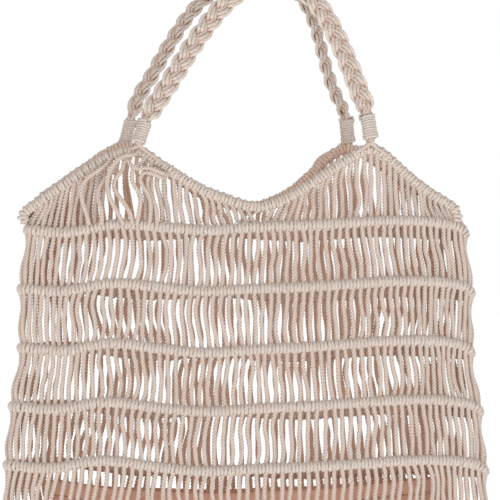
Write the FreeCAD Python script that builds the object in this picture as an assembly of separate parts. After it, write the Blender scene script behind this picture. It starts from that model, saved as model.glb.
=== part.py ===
import FreeCAD, Part

import math
import os

from FreeCAD import Vector

# Knotted cotton net bag with two braided handles and a loose leather pouch inside.
# Millimetres. X runs across the bag, -Y is its front, +Z is up.
# The origin is the hang point, under the tops of both handles. Sections are worked out
# about the bag's own middle, which lies a little to the left of the hang point.

BAG_MIDDLE_X = -13.0

# Cord and its knots
CORD_DIAMETER = 3.2
REST_GAP = 0.3                # soft pieces that touch lie this far apart
HITCH_BORE = CORD_DIAMETER + 2 * REST_GAP     # bore of a row of hitches, round its holding cord
CORD_SPACE = 2.93             # between neighbouring cords at the widest row, on average
SIDE_CROWDING = 0.12          # how much closer the cords stand towards the sides

# Rows of hitches, from the mouth down: outer half width, half depth at the middle of the
# cord line, and how much lower the back hangs than the front
ROW_DIAMETER = 9.4            # two turns of cord over the holding cord
ROW_END_RADIUS = 9.0
ROW_1_LEVEL = -194.0
ROW_PITCH = 48.2
ROWS = [
    (179.0, 26.0, 6.4),
    (184.0, 28.0, 7.5),
    (184.0, 30.0, 8.5),
    (191.0, 32.0, 9.8),
    (195.0, 34.0, 11.0),
    (196.0, 35.0, 10.0),
    (190.0, 31.0, 6.0),
]
CORDS_PER_SIDE = round(2 * max(row[0] for row in ROWS) / (CORD_DIAMETER + CORD_SPACE))

# Bottom seam, where the front and back cords are knotted together
SEAM_DIAMETER = 9.6
SEAM_INSET = 10.0             # at either side, shorter than the last row
SEAM_HALF_WIDTH = ROWS[-1][0] - SEAM_INSET
SEAM_DROP = 44.0              # below the last row
SEAM_CORD_OFFSET = 2.0        # front and back cords reach the seam this far each side of its middle

# Rims of the mouth, each with a peak under either leg of its handle
RIM_DIAMETER = 9.6
RIM_PEAK_LEVEL = -127.0
RIM_VALLEY_LEVEL = -180.6
PEAK_HALF_SPACING = 90.0
PEAK_SHIFT = 3.5              # front peaks to the right, back peaks to the left
RIM_END_INSET = 1.5           # from the side of the first row's cord line
RIM_CORNER_RISE = 1.2         # between rim and first row at the side corners
RIM_BEND_ROOM = 0.7           # more room for the cords where the rim bends over them
FAN_GATHER = 0.82             # the cords under a peak draw in towards it
SHORTEST_CORD = 3.0

# Whipped wraps at the feet of the handles
WRAP_DIAMETER = 12.8
WRAP_BORE = 8.6
WRAP_CORE_DIAMETER = WRAP_BORE - 2 * REST_GAP
WRAP_LENGTH = 20.0
WRAP_LEAN_X = 9.0             # degrees, towards the other leg
WRAP_LEAN_Y = 8.3             # degrees, towards the other handle

# Braided handles
BRAID_DIAMETER = 15.0
BRAID_APEX_LEVEL = 7.5
BRAID_APEX_GAP = 1.2          # between the two braids at the top
BRAID_APEX_OFFSET = (BRAID_DIAMETER + BRAID_APEX_GAP) / 2     # from the middle plane to each braid there

# Routes of the braids between their feet, as X and Z about the bag's middle
FRONT_BRAID_ROUTE = [
    (-75.5, -83), (-64.5, -68.5), (-52.5, -52), (-41, -35.5), (-29, -20), (-12, -3.5),
    (14, 9.5), (41, 1.5), (59, -17), (70, -37), (78, -57), (85, -76),
]
BACK_BRAID_ROUTE = [
    (-84, -82), (-74.5, -70), (-66, -54.5), (-56, -39), (-44.5, -23.5), (-30, -6), (-9, 7),
    (14, 9.5), (36, 3), (52.5, -11), (60, -30), (64.5, -48), (70, -66), (76.5, -81),
]

# Leather pouch that lies in the bottom of the bag
POUCH_HALF_WIDTH = 162.0
POUCH_HALF_DEPTH = 13.0
POUCH_END_RADIUS = 3.0
POUCH_TOP_LEVEL = -392.0      # at its sides
POUCH_TOP_SAG = 10.0          # lower at the middle
LEATHER = 1.6
HEM_THICKNESS = 1.2
HEM_HEIGHT = 13.0
SEWN_GAP = 0.1

FRONT = -1
BACK = 1


# ---------------------------------------------------------------- shapes

def export(shape, node):
    """Move a shape from the bag's middle to the hang point's frame and write its node."""
    shape.translate(Vector(BAG_MIDDLE_X, 0, 0))
    shape.exportStep("parts/" + node + ".step")
    print(node, "solids", len(shape.Solids), "volume", round(shape.Volume, 1), "valid", shape.isValid())


def rounded_route(points):
    """Straight runs joined by tangent arcs, each arc as large as its two runs allow."""
    edges = []
    radii = []
    start = points[0]
    for before, corner, after in zip(points, points[1:], points[2:]):
        run_in = (corner - before).normalize()
        run_out = (after - corner).normalize()
        half_turn = run_in.getAngle(run_out) / 2
        tangent = 0.45 * min((corner - before).Length, (after - corner).Length)
        radius = tangent / math.tan(half_turn)
        inward = (run_out - run_in).normalize()
        arc_start = corner - run_in * tangent
        arc_middle = corner + inward * (radius / math.cos(half_turn) - radius)
        arc_end = corner + run_out * tangent
        edges.append(Part.LineSegment(start, arc_start).toShape())
        edges.append(Part.Arc(arc_start, arc_middle, arc_end).toShape())
        radii.append(radius)
        start = arc_end
    edges.append(Part.LineSegment(start, points[-1]).toShape())
    return Part.Wire(edges), radii


def swept(wire, diameter):
    """A round bar of the given diameter along a wire."""
    first = wire.OrderedEdges[0]
    begin = first.valueAt(first.FirstParameter)
    along = first.tangentAt(first.FirstParameter)
    circle = Part.Wire(Part.makeCircle(diameter / 2, begin, along))
    bar = wire.makePipeShell([circle], True, False)
    wanted = math.pi * diameter ** 2 / 4 * wire.Length
    if abs(bar.Volume - wanted) > 0.02 * wanted:
        raise ValueError("a bar has not the volume of its section times its length")
    return bar


def hitches_and_holding_cord(wire, diameter):
    """The hollow line of hitches and the cord they are tied on."""
    hitches = swept(wire, diameter).cut(swept(wire, HITCH_BORE))
    return hitches, swept(wire, CORD_DIAMETER)


def cord_between(start, end, start_radius, end_radius, start_along, end_along):
    """A straight cord that stops a rest gap short of the two round bars it is tied to."""
    along = (end - start).normalize()
    near = trim(start_radius, along, start_along)
    far = trim(end_radius, along, end_along)
    length = (end - start).Length - near - far
    if length < SHORTEST_CORD:
        return None
    return Part.makeCylinder(CORD_DIAMETER / 2, length, start + along * near, along)


def trim(bar_radius, cord_direction, bar_direction):
    """How far from a bar's middle line a cord's flat end starts, to clear the bar."""
    slant = abs(cord_direction.dot(bar_direction))
    square = math.sqrt(1 - slant ** 2)
    return (bar_radius + REST_GAP + slant * CORD_DIAMETER / 2) / square


# ---------------------------------------------------------------- plan of a row

class Lens:
    """Plan of a flattened ring: two long shallow arcs joined by a small arc at each side."""

    def __init__(self, half_width, half_depth, end_radius):
        self.half_width = half_width
        self.half_depth = half_depth
        self.end_radius = end_radius
        self.end_centre = half_width - end_radius
        rise = half_depth - end_radius
        self.centre = (self.end_centre ** 2 - rise ** 2) / (2 * rise)
        self.radius = half_depth + self.centre
        self.sweep = math.atan2(self.end_centre, self.centre)
        self.join_x = self.radius * math.sin(self.sweep)
        self.long_length = self.radius * self.sweep
        self.half_length = self.long_length + end_radius * (math.pi / 2 - self.sweep)

    def depth_at(self, x):
        """Half depth of the plan at a distance from its middle."""
        if abs(x) <= self.join_x:
            return math.sqrt(self.radius ** 2 - x ** 2) - self.centre
        return math.sqrt(max(0.0, self.end_radius ** 2 - (abs(x) - self.end_centre) ** 2))

    def place(self, share):
        """X and half depth at a share of the way from the middle to a side, along the outline."""
        length = abs(share) * self.half_length
        if length <= self.long_length:
            angle = length / self.radius
            x = self.radius * math.sin(angle)
            depth = self.radius * math.cos(angle) - self.centre
        else:
            angle = self.sweep + (length - self.long_length) / self.end_radius
            x = self.end_centre + self.end_radius * math.sin(angle)
            depth = self.end_radius * math.cos(angle)
        return math.copysign(x, share), depth

    def wire(self, level):
        """The closed outline, starting where the front arc meets the left end."""
        join_y = self.depth_at(self.join_x)
        left_front = Vector(-self.join_x, -join_y, level)
        right_front = Vector(self.join_x, -join_y, level)
        right_back = Vector(self.join_x, join_y, level)
        left_back = Vector(-self.join_x, join_y, level)
        return Part.Wire([
            Part.Arc(left_front, Vector(0, -self.half_depth, level), right_front).toShape(),
            Part.Arc(right_front, Vector(self.half_width, 0, level), right_back).toShape(),
            Part.Arc(right_back, Vector(0, self.half_depth, level), left_back).toShape(),
            Part.Arc(left_back, Vector(-self.half_width, 0, level), left_front).toShape(),
        ])

    def prism(self, bottom, height):
        """A solid of this plan."""
        return Part.Face(self.wire(bottom)).extrude(Vector(0, 0, height))


class Row:
    """One row of hitches worked round the bag, its back hanging lower than its front."""

    def __init__(self, number):
        outer_half_width, half_depth, back_drop = ROWS[number - 1]
        self.lens = Lens(outer_half_width - ROW_DIAMETER / 2, half_depth, ROW_END_RADIUS)
        self.level = ROW_1_LEVEL - ROW_PITCH * (number - 1)
        self.tilt = math.asin(back_drop / (2 * half_depth))

    def point(self, share, side):
        """A point of the row's middle line, at a share of the way from the middle to a side."""
        x, depth = self.lens.place(share)
        y = side * depth
        return Vector(x, y * math.cos(self.tilt), self.level - y * math.sin(self.tilt))

    def direction(self, share, side):
        """The row's direction there."""
        step = 0.001
        return (self.point(share + step, side) - self.point(share - step, side)).normalize()

    def wire(self):
        """The row's middle line."""
        ring = self.lens.wire(self.level)
        ring.rotate(Vector(0, 0, self.level), Vector(1, 0, 0), -math.degrees(self.tilt))
        return ring


def cord_shares():
    """Where the cords of one side cross every row, from the left side to the right."""
    for number in range(CORDS_PER_SIDE):
        even = 2 * (number + 0.5) / CORDS_PER_SIDE - 1
        yield even * (1 + SIDE_CROWDING) - SIDE_CROWDING * even ** 3


# ---------------------------------------------------------------- net

def make_rows(rows):
    """Each row of hitches and the holding cord inside it."""
    for number, row in enumerate(rows, 1):
        hitches, holding_cord = hitches_and_holding_cord(row.wire(), ROW_DIAMETER)
        export(hitches, "row_%d_hitches" % number)
        export(holding_cord, "row_%d_holding_cord" % number)


def seam_point(x):
    """A point of the bottom seam's middle line."""
    return Vector(x, 0, ROW_1_LEVEL - ROW_PITCH * (len(ROWS) - 1) - SEAM_DROP)


def make_bottom_seam():
    """The bar of hitches that closes the bag."""
    end = SEAM_HALF_WIDTH - SEAM_DIAMETER / 2
    hitches, holding_cord = hitches_and_holding_cord(
        Part.Wire(Part.LineSegment(seam_point(-end), seam_point(end)).toShape()), SEAM_DIAMETER)
    export(hitches, "bottom_seam_hitches")
    export(holding_cord, "bottom_seam_holding_cord")


def make_band_cords(rows):
    """The upright cords between each row and the next, front and back."""
    radius = ROW_DIAMETER / 2
    for number, (upper, lower) in enumerate(zip(rows, rows[1:]), 1):
        for side, name in ((FRONT, "front"), (BACK, "back")):
            cords = []
            for share in cord_shares():
                cords.append(cord_between(
                    upper.point(share, side), lower.point(share, side), radius, radius,
                    upper.direction(share, side), lower.direction(share, side)))
            export(Part.Compound(cords), "%s_cords_%d" % (name, number))


def make_base_cords(last_row):
    """The cords that draw in from the last row to the bottom seam."""
    end = SEAM_HALF_WIDTH - SEAM_DIAMETER / 2 - CORD_DIAMETER
    for side, name in ((FRONT, "front"), (BACK, "back")):
        cords = []
        for share in cord_shares():
            low_point = seam_point(end * share) + Vector(0, side * SEAM_CORD_OFFSET, 0)
            cords.append(cord_between(
                last_row.point(share, side), low_point, ROW_DIAMETER / 2, SEAM_DIAMETER / 2,
                last_row.direction(share, side), Vector(1, 0, 0)))
        export(Part.Compound(cords), name + "_base_cords")


# ---------------------------------------------------------------- rims of the mouth

def rim_route(side, first_row):
    """Middle line of a rim: up from a side corner, over a peak, through the valley and back."""
    shift = -side * PEAK_SHIFT
    corner_x = first_row.lens.half_width - RIM_END_INSET
    corner_y = (RIM_DIAMETER + REST_GAP) / 2
    corner_level = first_row.level + (ROW_DIAMETER + RIM_DIAMETER) / 2 + RIM_CORNER_RISE
    rise = RIM_PEAK_LEVEL - RIM_VALLEY_LEVEL
    outline = []
    for leg in (-1, 1):
        peak = leg * PEAK_HALF_SPACING + shift
        outer = corner_x * leg
        inner = shift
        span_out = outer - peak
        span_in = inner - peak
        arm = [
            (peak + span_out * 0.72, RIM_VALLEY_LEVEL + rise * 0.26),
            (peak + span_out * 0.34, RIM_VALLEY_LEVEL + rise * 0.76),
            (peak + leg * 7, RIM_PEAK_LEVEL + 1.2),
            (peak - leg * 7, RIM_PEAK_LEVEL + 1.2),
            (peak + span_in * 0.30, RIM_VALLEY_LEVEL + rise * 0.74),
            (peak + span_in * 0.62, RIM_VALLEY_LEVEL + rise * 0.27),
            (peak + span_in * 0.88, RIM_VALLEY_LEVEL + rise * 0.02),
        ]
        outline += arm if leg < 0 else arm[::-1]
    points = [Vector(x, side * first_row.lens.depth_at(x), z) for x, z in outline]
    left_corner = Vector(-corner_x, side * corner_y, corner_level)
    right_corner = Vector(corner_x, side * corner_y, corner_level)
    return [left_corner] + points + [right_corner]


def make_rims(first_row):
    """Both rims with their holding cords, and the fan of cords between rim and first row."""
    for side, name in ((FRONT, "front"), (BACK, "back")):
        wire, radii = rounded_route(rim_route(side, first_row))
        print(name, "rim radii", [round(radius) for radius in radii])
        hitches, holding_cord = hitches_and_holding_cord(wire, RIM_DIAMETER)
        export(hitches, name + "_rim_hitches")
        export(holding_cord, name + "_rim_holding_cord")
        make_fan_cords(first_row, wire, side, name)


def make_fan_cords(first_row, rim_wire, side, name):
    """The cords under one rim, drawn in towards the peaks and left out where there is no room."""
    rim_points = rim_wire.discretize(Number=600)
    shift = -side * PEAK_SHIFT
    cords = []
    for share in cord_shares():
        row_x = first_row.point(share, side).x
        peak = shift + math.copysign(PEAK_HALF_SPACING, row_x - shift)
        rim_x = peak + (row_x - peak) * FAN_GATHER
        for before, after in zip(rim_points, rim_points[1:]):
            if before.x <= rim_x <= after.x:
                part_way = (rim_x - before.x) / (after.x - before.x)
                cords.append(cord_between(
                    before + (after - before) * part_way, first_row.point(share, side),
                    RIM_DIAMETER / 2 + RIM_BEND_ROOM, ROW_DIAMETER / 2,
                    (after - before).normalize(), first_row.direction(share, side)))
                break
    export(Part.Compound([cord for cord in cords if cord]), name + "_fan_cords")


# ---------------------------------------------------------------- handles

def wrap_foot(side, leg, first_row):
    """Centre of the round foot of a wrap, on the line that the wraps of one handle turn about."""
    x = leg * PEAK_HALF_SPACING - side * PEAK_SHIFT
    level = RIM_PEAK_LEVEL + RIM_DIAMETER / 2 + REST_GAP + WRAP_DIAMETER / 2
    return Vector(x, side * first_row.lens.half_depth, level)


def wrap_direction(side, leg):
    """A wrap leans towards the other leg and towards the other handle."""
    lean_x = math.tan(math.radians(WRAP_LEAN_X))
    lean_y = math.tan(math.radians(WRAP_LEAN_Y))
    return Vector(-leg * lean_x, -side * lean_y, 1).normalize()


def braid_foot(side, leg, first_row):
    """Centre of the round foot of a braid, on the line that the handle turns about."""
    reach = WRAP_LENGTH - WRAP_DIAMETER / 2 + REST_GAP + BRAID_DIAMETER / 2
    return wrap_foot(side, leg, first_row) + wrap_direction(side, leg) * reach


def make_wraps(first_row):
    """The four whipped wraps, each a closed sleeve round the bundle of handle cords."""
    for side, name in ((FRONT, "front"), (BACK, "back")):
        for leg, place in ((-1, "left"), (1, "right")):
            foot = wrap_foot(side, leg, first_row)
            along = wrap_direction(side, leg)
            height = WRAP_LENGTH - WRAP_DIAMETER / 2
            sleeve = Part.makeCylinder(WRAP_DIAMETER / 2, height, foot, along)
            sleeve = sleeve.fuse(Part.makeSphere(WRAP_DIAMETER / 2, foot)).removeSplitter()
            sleeve = sleeve.cut(Part.makeCylinder(WRAP_BORE / 2, height + 1, foot, along))
            core = Part.makeCylinder(
                WRAP_CORE_DIAMETER / 2, height - REST_GAP, foot + along * REST_GAP, along)
            export(sleeve, "%s_%s_wrap" % (name, place))
            export(core, "%s_%s_wrap_core" % (name, place))


def make_braids(first_row):
    """The braided handle of each side, with a round foot over either wrap."""
    for side, name, route in ((FRONT, "front", FRONT_BRAID_ROUTE), (BACK, "back", BACK_BRAID_ROUTE)):
        left = braid_foot(side, -1, first_row)
        right = braid_foot(side, 1, first_row)
        foot_offset = abs(left.y)
        points = [left]
        for x, z in route:
            rise = (z - left.z) / (BRAID_APEX_LEVEL - left.z)
            points.append(Vector(x, side * (foot_offset + (BRAID_APEX_OFFSET - foot_offset) * rise), z))
        points.append(right)
        wire, radii = rounded_route(points)
        print(name, "braid length", round(wire.Length, 1), "radii", [round(radius) for radius in radii])
        braid = swept(wire, BRAID_DIAMETER)
        for foot in (left, right):
            braid = braid.fuse(Part.makeSphere(BRAID_DIAMETER / 2, foot))
        export(braid, name + "_braid")


# ---------------------------------------------------------------- leather pouch

def make_pouch(last_row):
    """Two panels sewn at the sides, a base between them and a hem round the top."""
    panel_inset = HEM_THICKNESS + SEWN_GAP
    outside = Lens(POUCH_HALF_WIDTH, POUCH_HALF_DEPTH, POUCH_END_RADIUS)
    panel = Lens(POUCH_HALF_WIDTH - panel_inset, POUCH_HALF_DEPTH - panel_inset,
                 POUCH_END_RADIUS - panel_inset / 2)
    hem_inside = Lens(POUCH_HALF_WIDTH - HEM_THICKNESS, POUCH_HALF_DEPTH - HEM_THICKNESS,
                      POUCH_END_RADIUS - HEM_THICKNESS / 2)
    inside = Lens(panel.half_width - LEATHER, panel.half_depth - LEATHER, POUCH_END_RADIUS / 3)
    base_plan = Lens(inside.half_width - SEWN_GAP, inside.half_depth - SEWN_GAP, POUCH_END_RADIUS / 4)

    # The pouch sinks between the base cords until they carry its lower edge.
    cord_foot = seam_point(0) + Vector(0, FRONT * SEAM_CORD_OFFSET, 0)
    cord_run = last_row.point(0, FRONT) - cord_foot
    cord_half = CORD_DIAMETER / 2 * cord_run.Length / cord_run.z
    spread = panel.half_depth + REST_GAP + cord_half - SEAM_CORD_OFFSET
    bottom = cord_foot.z + spread * cord_run.z / abs(cord_run.y)
    height = POUCH_TOP_LEVEL - bottom

    sag_radius = (POUCH_HALF_WIDTH ** 2 + POUCH_TOP_SAG ** 2) / (2 * POUCH_TOP_SAG)
    mouth = Part.makeCylinder(
        sag_radius, 4 * POUCH_HALF_DEPTH,
        Vector(0, -2 * POUCH_HALF_DEPTH, POUCH_TOP_LEVEL - POUCH_TOP_SAG + sag_radius), Vector(0, 1, 0))
    hem_line = mouth.copy()
    hem_line.translate(Vector(0, 0, -HEM_HEIGHT))

    walls = panel.prism(bottom, height).cut(inside.prism(bottom - 1, height + 2)).cut(mouth)
    block = Part.makeBox(4 * POUCH_HALF_WIDTH, 2 * POUCH_HALF_DEPTH, 2 * height)
    for side, name in ((FRONT, "front"), (BACK, "back")):
        half = block.copy()
        near = REST_GAP / 2 if side == BACK else -REST_GAP / 2 - 2 * POUCH_HALF_DEPTH
        half.translate(Vector(-2 * POUCH_HALF_WIDTH, near, bottom - height / 2))
        export(walls.common(half), "pouch_%s_panel" % name)
    export(base_plan.prism(bottom, LEATHER), "pouch_base")
    hem = outside.prism(bottom, height).cut(hem_inside.prism(bottom - 1, height + 2))
    export(hem.cut(mouth).common(hem_line), "pouch_hem")


def main():
    os.makedirs("parts", exist_ok=True)
    rows = [Row(number) for number in range(1, len(ROWS) + 1)]
    make_rows(rows)
    make_bottom_seam()
    make_band_cords(rows)
    make_base_cords(rows[-1])
    make_rims(rows[0])
    make_wraps(rows[0])
    make_braids(rows[0])
    make_pouch(rows[-1])


main()
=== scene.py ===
import math

import bpy
import numpy as np
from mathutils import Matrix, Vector


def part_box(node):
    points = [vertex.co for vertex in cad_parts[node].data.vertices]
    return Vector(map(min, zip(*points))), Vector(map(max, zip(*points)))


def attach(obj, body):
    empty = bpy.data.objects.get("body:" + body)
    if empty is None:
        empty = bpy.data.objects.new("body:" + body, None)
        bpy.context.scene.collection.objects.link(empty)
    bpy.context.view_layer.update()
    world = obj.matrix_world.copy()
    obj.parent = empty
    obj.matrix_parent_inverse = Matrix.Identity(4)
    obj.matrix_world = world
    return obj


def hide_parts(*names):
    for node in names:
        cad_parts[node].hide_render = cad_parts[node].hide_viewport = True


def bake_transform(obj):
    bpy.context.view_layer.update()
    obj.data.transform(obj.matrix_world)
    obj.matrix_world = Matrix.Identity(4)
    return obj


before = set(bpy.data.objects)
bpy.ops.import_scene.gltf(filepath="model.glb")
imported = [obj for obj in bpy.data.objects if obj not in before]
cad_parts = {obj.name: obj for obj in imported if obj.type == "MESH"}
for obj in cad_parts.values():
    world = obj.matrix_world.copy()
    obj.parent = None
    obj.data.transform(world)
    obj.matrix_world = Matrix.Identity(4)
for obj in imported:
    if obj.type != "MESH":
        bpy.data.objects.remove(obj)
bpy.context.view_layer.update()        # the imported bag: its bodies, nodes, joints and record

bl_info = {
    "name": "Knotted Net Bag",
    "version": (1, 0, 0),
    "blender": (4, 5, 0),
    "location": "View3D > Sidebar > Net Bag",
    "description": "Makes a net bag of cotton cord with braided handles and a leather pouch",
    "category": "Add Mesh",
}

# ---------------------------------------------------------------- sizes shared with the part
# Millimetres about the bag's own middle. X runs across the bag, -Y is its front, +Z is up.

MM = 0.001
BAG_MIDDLE_X = -13.0
FRONT, BACK = -1, 1
SIDES = ((FRONT, "front"), (BACK, "back"))
LEGS = ((-1, "left"), (1, "right"))

CORDS_PER_SIDE = 64
SIDE_CROWDING = 0.12
ROW_END_RADIUS = 9.0
ROW_1_LEVEL = -194.0
ROW_PITCH = 48.2
ROW_DIAMETER = 9.4
ROWS = [                      # outer half width, half depth, how much lower the back hangs
    (179.0, 26.0, 6.4),
    (184.0, 28.0, 7.5),
    (184.0, 30.0, 8.5),
    (191.0, 32.0, 9.8),
    (195.0, 34.0, 11.0),
    (196.0, 35.0, 10.0),
    (190.0, 31.0, 6.0),
]


SEAM_HALF_LENGTH = 175.2
SEAM_LEVEL = ROW_1_LEVEL - ROW_PITCH * 6 - 44.0
SEAM_CORD_OFFSET = 2.0
SEAM_SEAT = 2.5               # how far above the seam's middle line the base cords end
SEAM_END = 1.5                # from the end of the seam to the middle of its last loop
SEAM_SWAY = 1.2               # how far the bottom seam rises and falls
SEAM_SWAY_REACH = 31.0        # along the seam, in one radian of that wave

RIM_DIAMETER = 9.6
PEAK_HALF_SPACING = 90.0
PEAK_SHIFT = 3.5
RIM_CORNER_DEPTH = 4.95
FAN_GATHER = 0.9

WRAP_FOOT_LEVEL = -115.5
WRAP_LEAN_Y = math.tan(math.radians(8.3))
WRAPS = {                     # lean across in degrees, start and end along it, radius
    (FRONT, -1): (20.0, -12.0, 7.8, 5.6),
    (BACK, -1): (13.0, -9.0, 11.4, 5.2),
    (BACK, 1): (8.0, -6.8, 14.8, 5.8),
    (FRONT, 1): (7.0, -6.6, 14.6, 6.0),
}
BRAID_APEX_LEVEL = 7.5
BRAID_APEX_OFFSET = 8.1
BRAID_ROOT = (-1.0, 4.0)      # along the wrap from its top: the first points of the braid's line

# Routes of the braids between their feet, as X and Z
FRONT_BRAID_ROUTE = [
    (-69.5, -86), (-60, -70.8), (-50.5, -55.5), (-40.3, -40.2), (-28, -24), (-12.5, -7),
    (14, 9.5), (41, 1.5), (58.5, -17), (68.5, -37), (76.2, -55.5), (81.8, -70.8), (87.1, -86),
]
BACK_BRAID_ROUTE = [
    (-84.5, -85), (-75, -70.8), (-67, -55.5), (-58, -40.2), (-48.5, -24.9), (-34.5, -8.5),
    (-11, 6.5), (14, 9.5), (36, 3), (50, -11), (57.5, -28), (63, -46), (68, -63), (73.5, -79),
]

# Middle lines of the rims, as X and Z, pulled a little out of true by the handles
FRONT_RIM = [
    (-175.5, -189), (-178.5, -185.5), (-178.5, -181), (-172.5, -177), (-163, -170),
    (-150.5, -161.3), (-138, -152.8), (-125.4, -144.2), (-112.8, -137.2), (-104, -133.8),
    (-95, -132.2), (-85.5, -133.4), (-77.5, -139), (-61.6, -149.5), (-42.4, -161.5),
    (-23.3, -168.8), (-5, -174.5), (6, -176.3), (18, -173.4), (31, -167.5), (43.8, -159.5),
    (54.4, -152.2), (66, -144.2), (79, -136.3), (87.5, -130.8), (95.5, -128.2), (103, -130.8),
    (112, -138), (122, -147), (134, -157), (147, -165.8), (157, -171), (165, -176.5),
    (167, -182), (166, -188),
]
BACK_RIM = [
    (-174, -189), (-177, -185.5), (-177, -181), (-170.5, -175.5), (-160, -166.5),
    (-146, -157), (-135, -149), (-124.9, -142),
    (-114.6, -134.3), (-104, -128.2), (-94, -126), (-84, -128.5), (-74, -136), (-60, -147),
    (-44, -158), (-27, -167), (-10, -173.5), (4, -175.5), (18, -173), (31, -167.5),
    (42.2, -161), (51.1, -153), (58, -146.5), (63, -140.5), (70.6, -133.5), (78, -128.5),
    (86, -126), (95, -128.5), (104, -134.5), (116, -143.5), (130, -153.5), (146, -163.5),
    (158, -171), (164.5, -176.5), (167, -182), (165, -188),
]

POUCH_HALF_WIDTH = 162.0
POUCH_HALF_DEPTH = 13.0
POUCH_END_RADIUS = 3.0
POUCH_TOP_LEVEL = -392.0
POUCH_TOP_SAG = 10.0
LEATHER = 1.6
HEM_THICKNESS = 1.2
HEM_HEIGHT = 13.0
SEWN_GAP = 0.1

# ---------------------------------------------------------------- how the knots and cords lie

RIGHT_SIDE_PULL = 5.0         # the net is stretched this much wider on its right side
PULL_REACH = 190.0            # from the middle to where it has all of that
ROW_SWAY = 0.8                # each row's own rise and fall, besides the waves below
ROW_SWAY_TURN = 2.1           # radians of that wave in half a row
ROW_SWAY_STEP = 1.7           # radians by which the next row's wave is ahead
ROW_SLIDE = 0.0085            # how far a row has slid sideways, as a share of its half length
SLIDE_PLACES = 8              # along a row, where that changes

# How far a row rises and falls along its front and its back, at a share of the way across
FRONT_WAVE = [(-1, 0), (-0.8, -3.6), (-0.6, 2), (-0.38, -1.4), (-0.2, -4), (0, -1.8),
              (0.2, 0), (0.42, 2.8), (0.63, 5.6), (0.84, 5.0), (0.93, 2.2), (1, -4.5)]
BACK_WAVE = [(-1, 0), (-0.75, 2.4), (-0.45, -1.6), (-0.1, 1.2), (0.25, -2.2), (0.6, 1.0),
             (0.85, -1.4), (1, -4.5)]

# How much higher each row hangs at its left, and how that fades towards the right
LEFT_SIDE_LIFT = (0.0, 1.8, 4.0, 6.5, 8.5, 6.0, 2.5)
LIFT_FADES = [(-1, 1), (-0.65, 0.85), (-0.3, 0.35), (0, 0.15), (0.4, 0), (1, 0)]
SIDE_BELLY = (0.5, 0.8, 1.0, 3.0, 5.5, 4.0)    # how far the last cords of a band bulge sideways
BELLY_FADES = 5               # the higher, the nearer to the side that bulge stays

# Section of a three-ply cord, for one ply: turn in degrees, share of the radius, and how deep
# that point lies in the groove between the plies, which sets both its bump and its painted groove
# shade
CORD_PLY = [(0, 0.78, 0.9), (60, 1.0, 0.0)]
LOOP_PLY = [(0, 0.88, 0.5), (60, 1.0, 0.0)]
STRAND_PLY = [(0, 0.88, 0.4), (60, 1.0, 0.0)]
WRAP_PLY = [(0, 0.93, 0.25), (60, 1.0, 0.0)]
PLIES = 3


def smooth_line(at, knots):
    """A smooth line through a few chosen heights."""
    places, heights = np.array(knots, float).T
    slopes = np.gradient(heights, places)
    left = np.clip(np.searchsorted(places, at) - 1, 0, len(places) - 2)
    span = places[left + 1] - places[left]
    t = np.clip((at - places[left]) / span, 0, 1)
    return ((2 * t ** 3 - 3 * t ** 2 + 1) * heights[left]
            + (t ** 3 - 2 * t ** 2 + t) * span * slopes[left]
            + (3 * t ** 2 - 2 * t ** 3) * heights[left + 1]
            + (t ** 3 - t ** 2) * span * slopes[left + 1])


def unit(vectors):
    """Vectors of length one."""
    return vectors / np.maximum(np.linalg.norm(vectors, axis=-1, keepdims=True), 1e-9)


def square_to(along, direction):
    """The part of a direction that is square to another one, at length one."""
    return unit(direction - (direction * along).sum(-1, keepdims=True) * along)


def travelled(line):
    """How far along a line each of its points lies."""
    steps = np.linalg.norm(np.diff(line, axis=0), axis=1)
    return np.concatenate([[0], np.cumsum(steps)])


def ease(t):
    """From 0 to 1 with a soft start and end."""
    t = np.clip(t, 0, 1)
    return t * t * (3 - 2 * t)


class Lens:
    """Plan of a flattened ring: two long shallow arcs joined by a small arc at each side."""

    def __init__(self, half_width, half_depth, end_radius):
        self.half_width = half_width
        self.half_depth = half_depth
        self.end_radius = end_radius
        self.end_centre = half_width - end_radius
        rise = half_depth - end_radius
        self.centre = (self.end_centre ** 2 - rise ** 2) / (2 * rise)
        self.radius = half_depth + self.centre
        self.sweep = math.atan2(self.end_centre, self.centre)
        self.join_x = self.radius * math.sin(self.sweep)
        self.long_length = self.radius * self.sweep
        self.half_length = self.long_length + end_radius * (math.pi / 2 - self.sweep)

    def depth_at(self, x):
        """Half depth of the plan at a distance from its middle."""
        x = np.abs(np.asarray(x, float))
        long_arc = np.sqrt(self.radius ** 2 - np.minimum(x, self.join_x) ** 2) - self.centre
        end_arc = np.sqrt(np.maximum(0, self.end_radius ** 2 - (x - self.end_centre) ** 2))
        return np.where(x <= self.join_x, long_arc, end_arc)

    def place(self, share):
        """X, half depth and the outline's normal at a share of the way from middle to side."""
        share = np.asarray(share, float)
        length = np.abs(share) * self.half_length
        on_end = length > self.long_length
        long_turn = np.minimum(length, self.long_length) / self.radius
        end_turn = self.sweep + np.maximum(0, length - self.long_length) / self.end_radius
        turn = np.where(on_end, end_turn, long_turn)
        x = np.where(on_end, self.end_centre + self.end_radius * np.sin(turn),
                     self.radius * np.sin(turn))
        depth = np.where(on_end, self.end_radius * np.cos(turn),
                         self.radius * np.cos(turn) - self.centre)
        sign = np.sign(share)
        return x * sign, depth, np.sin(turn) * sign, np.cos(turn)


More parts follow.
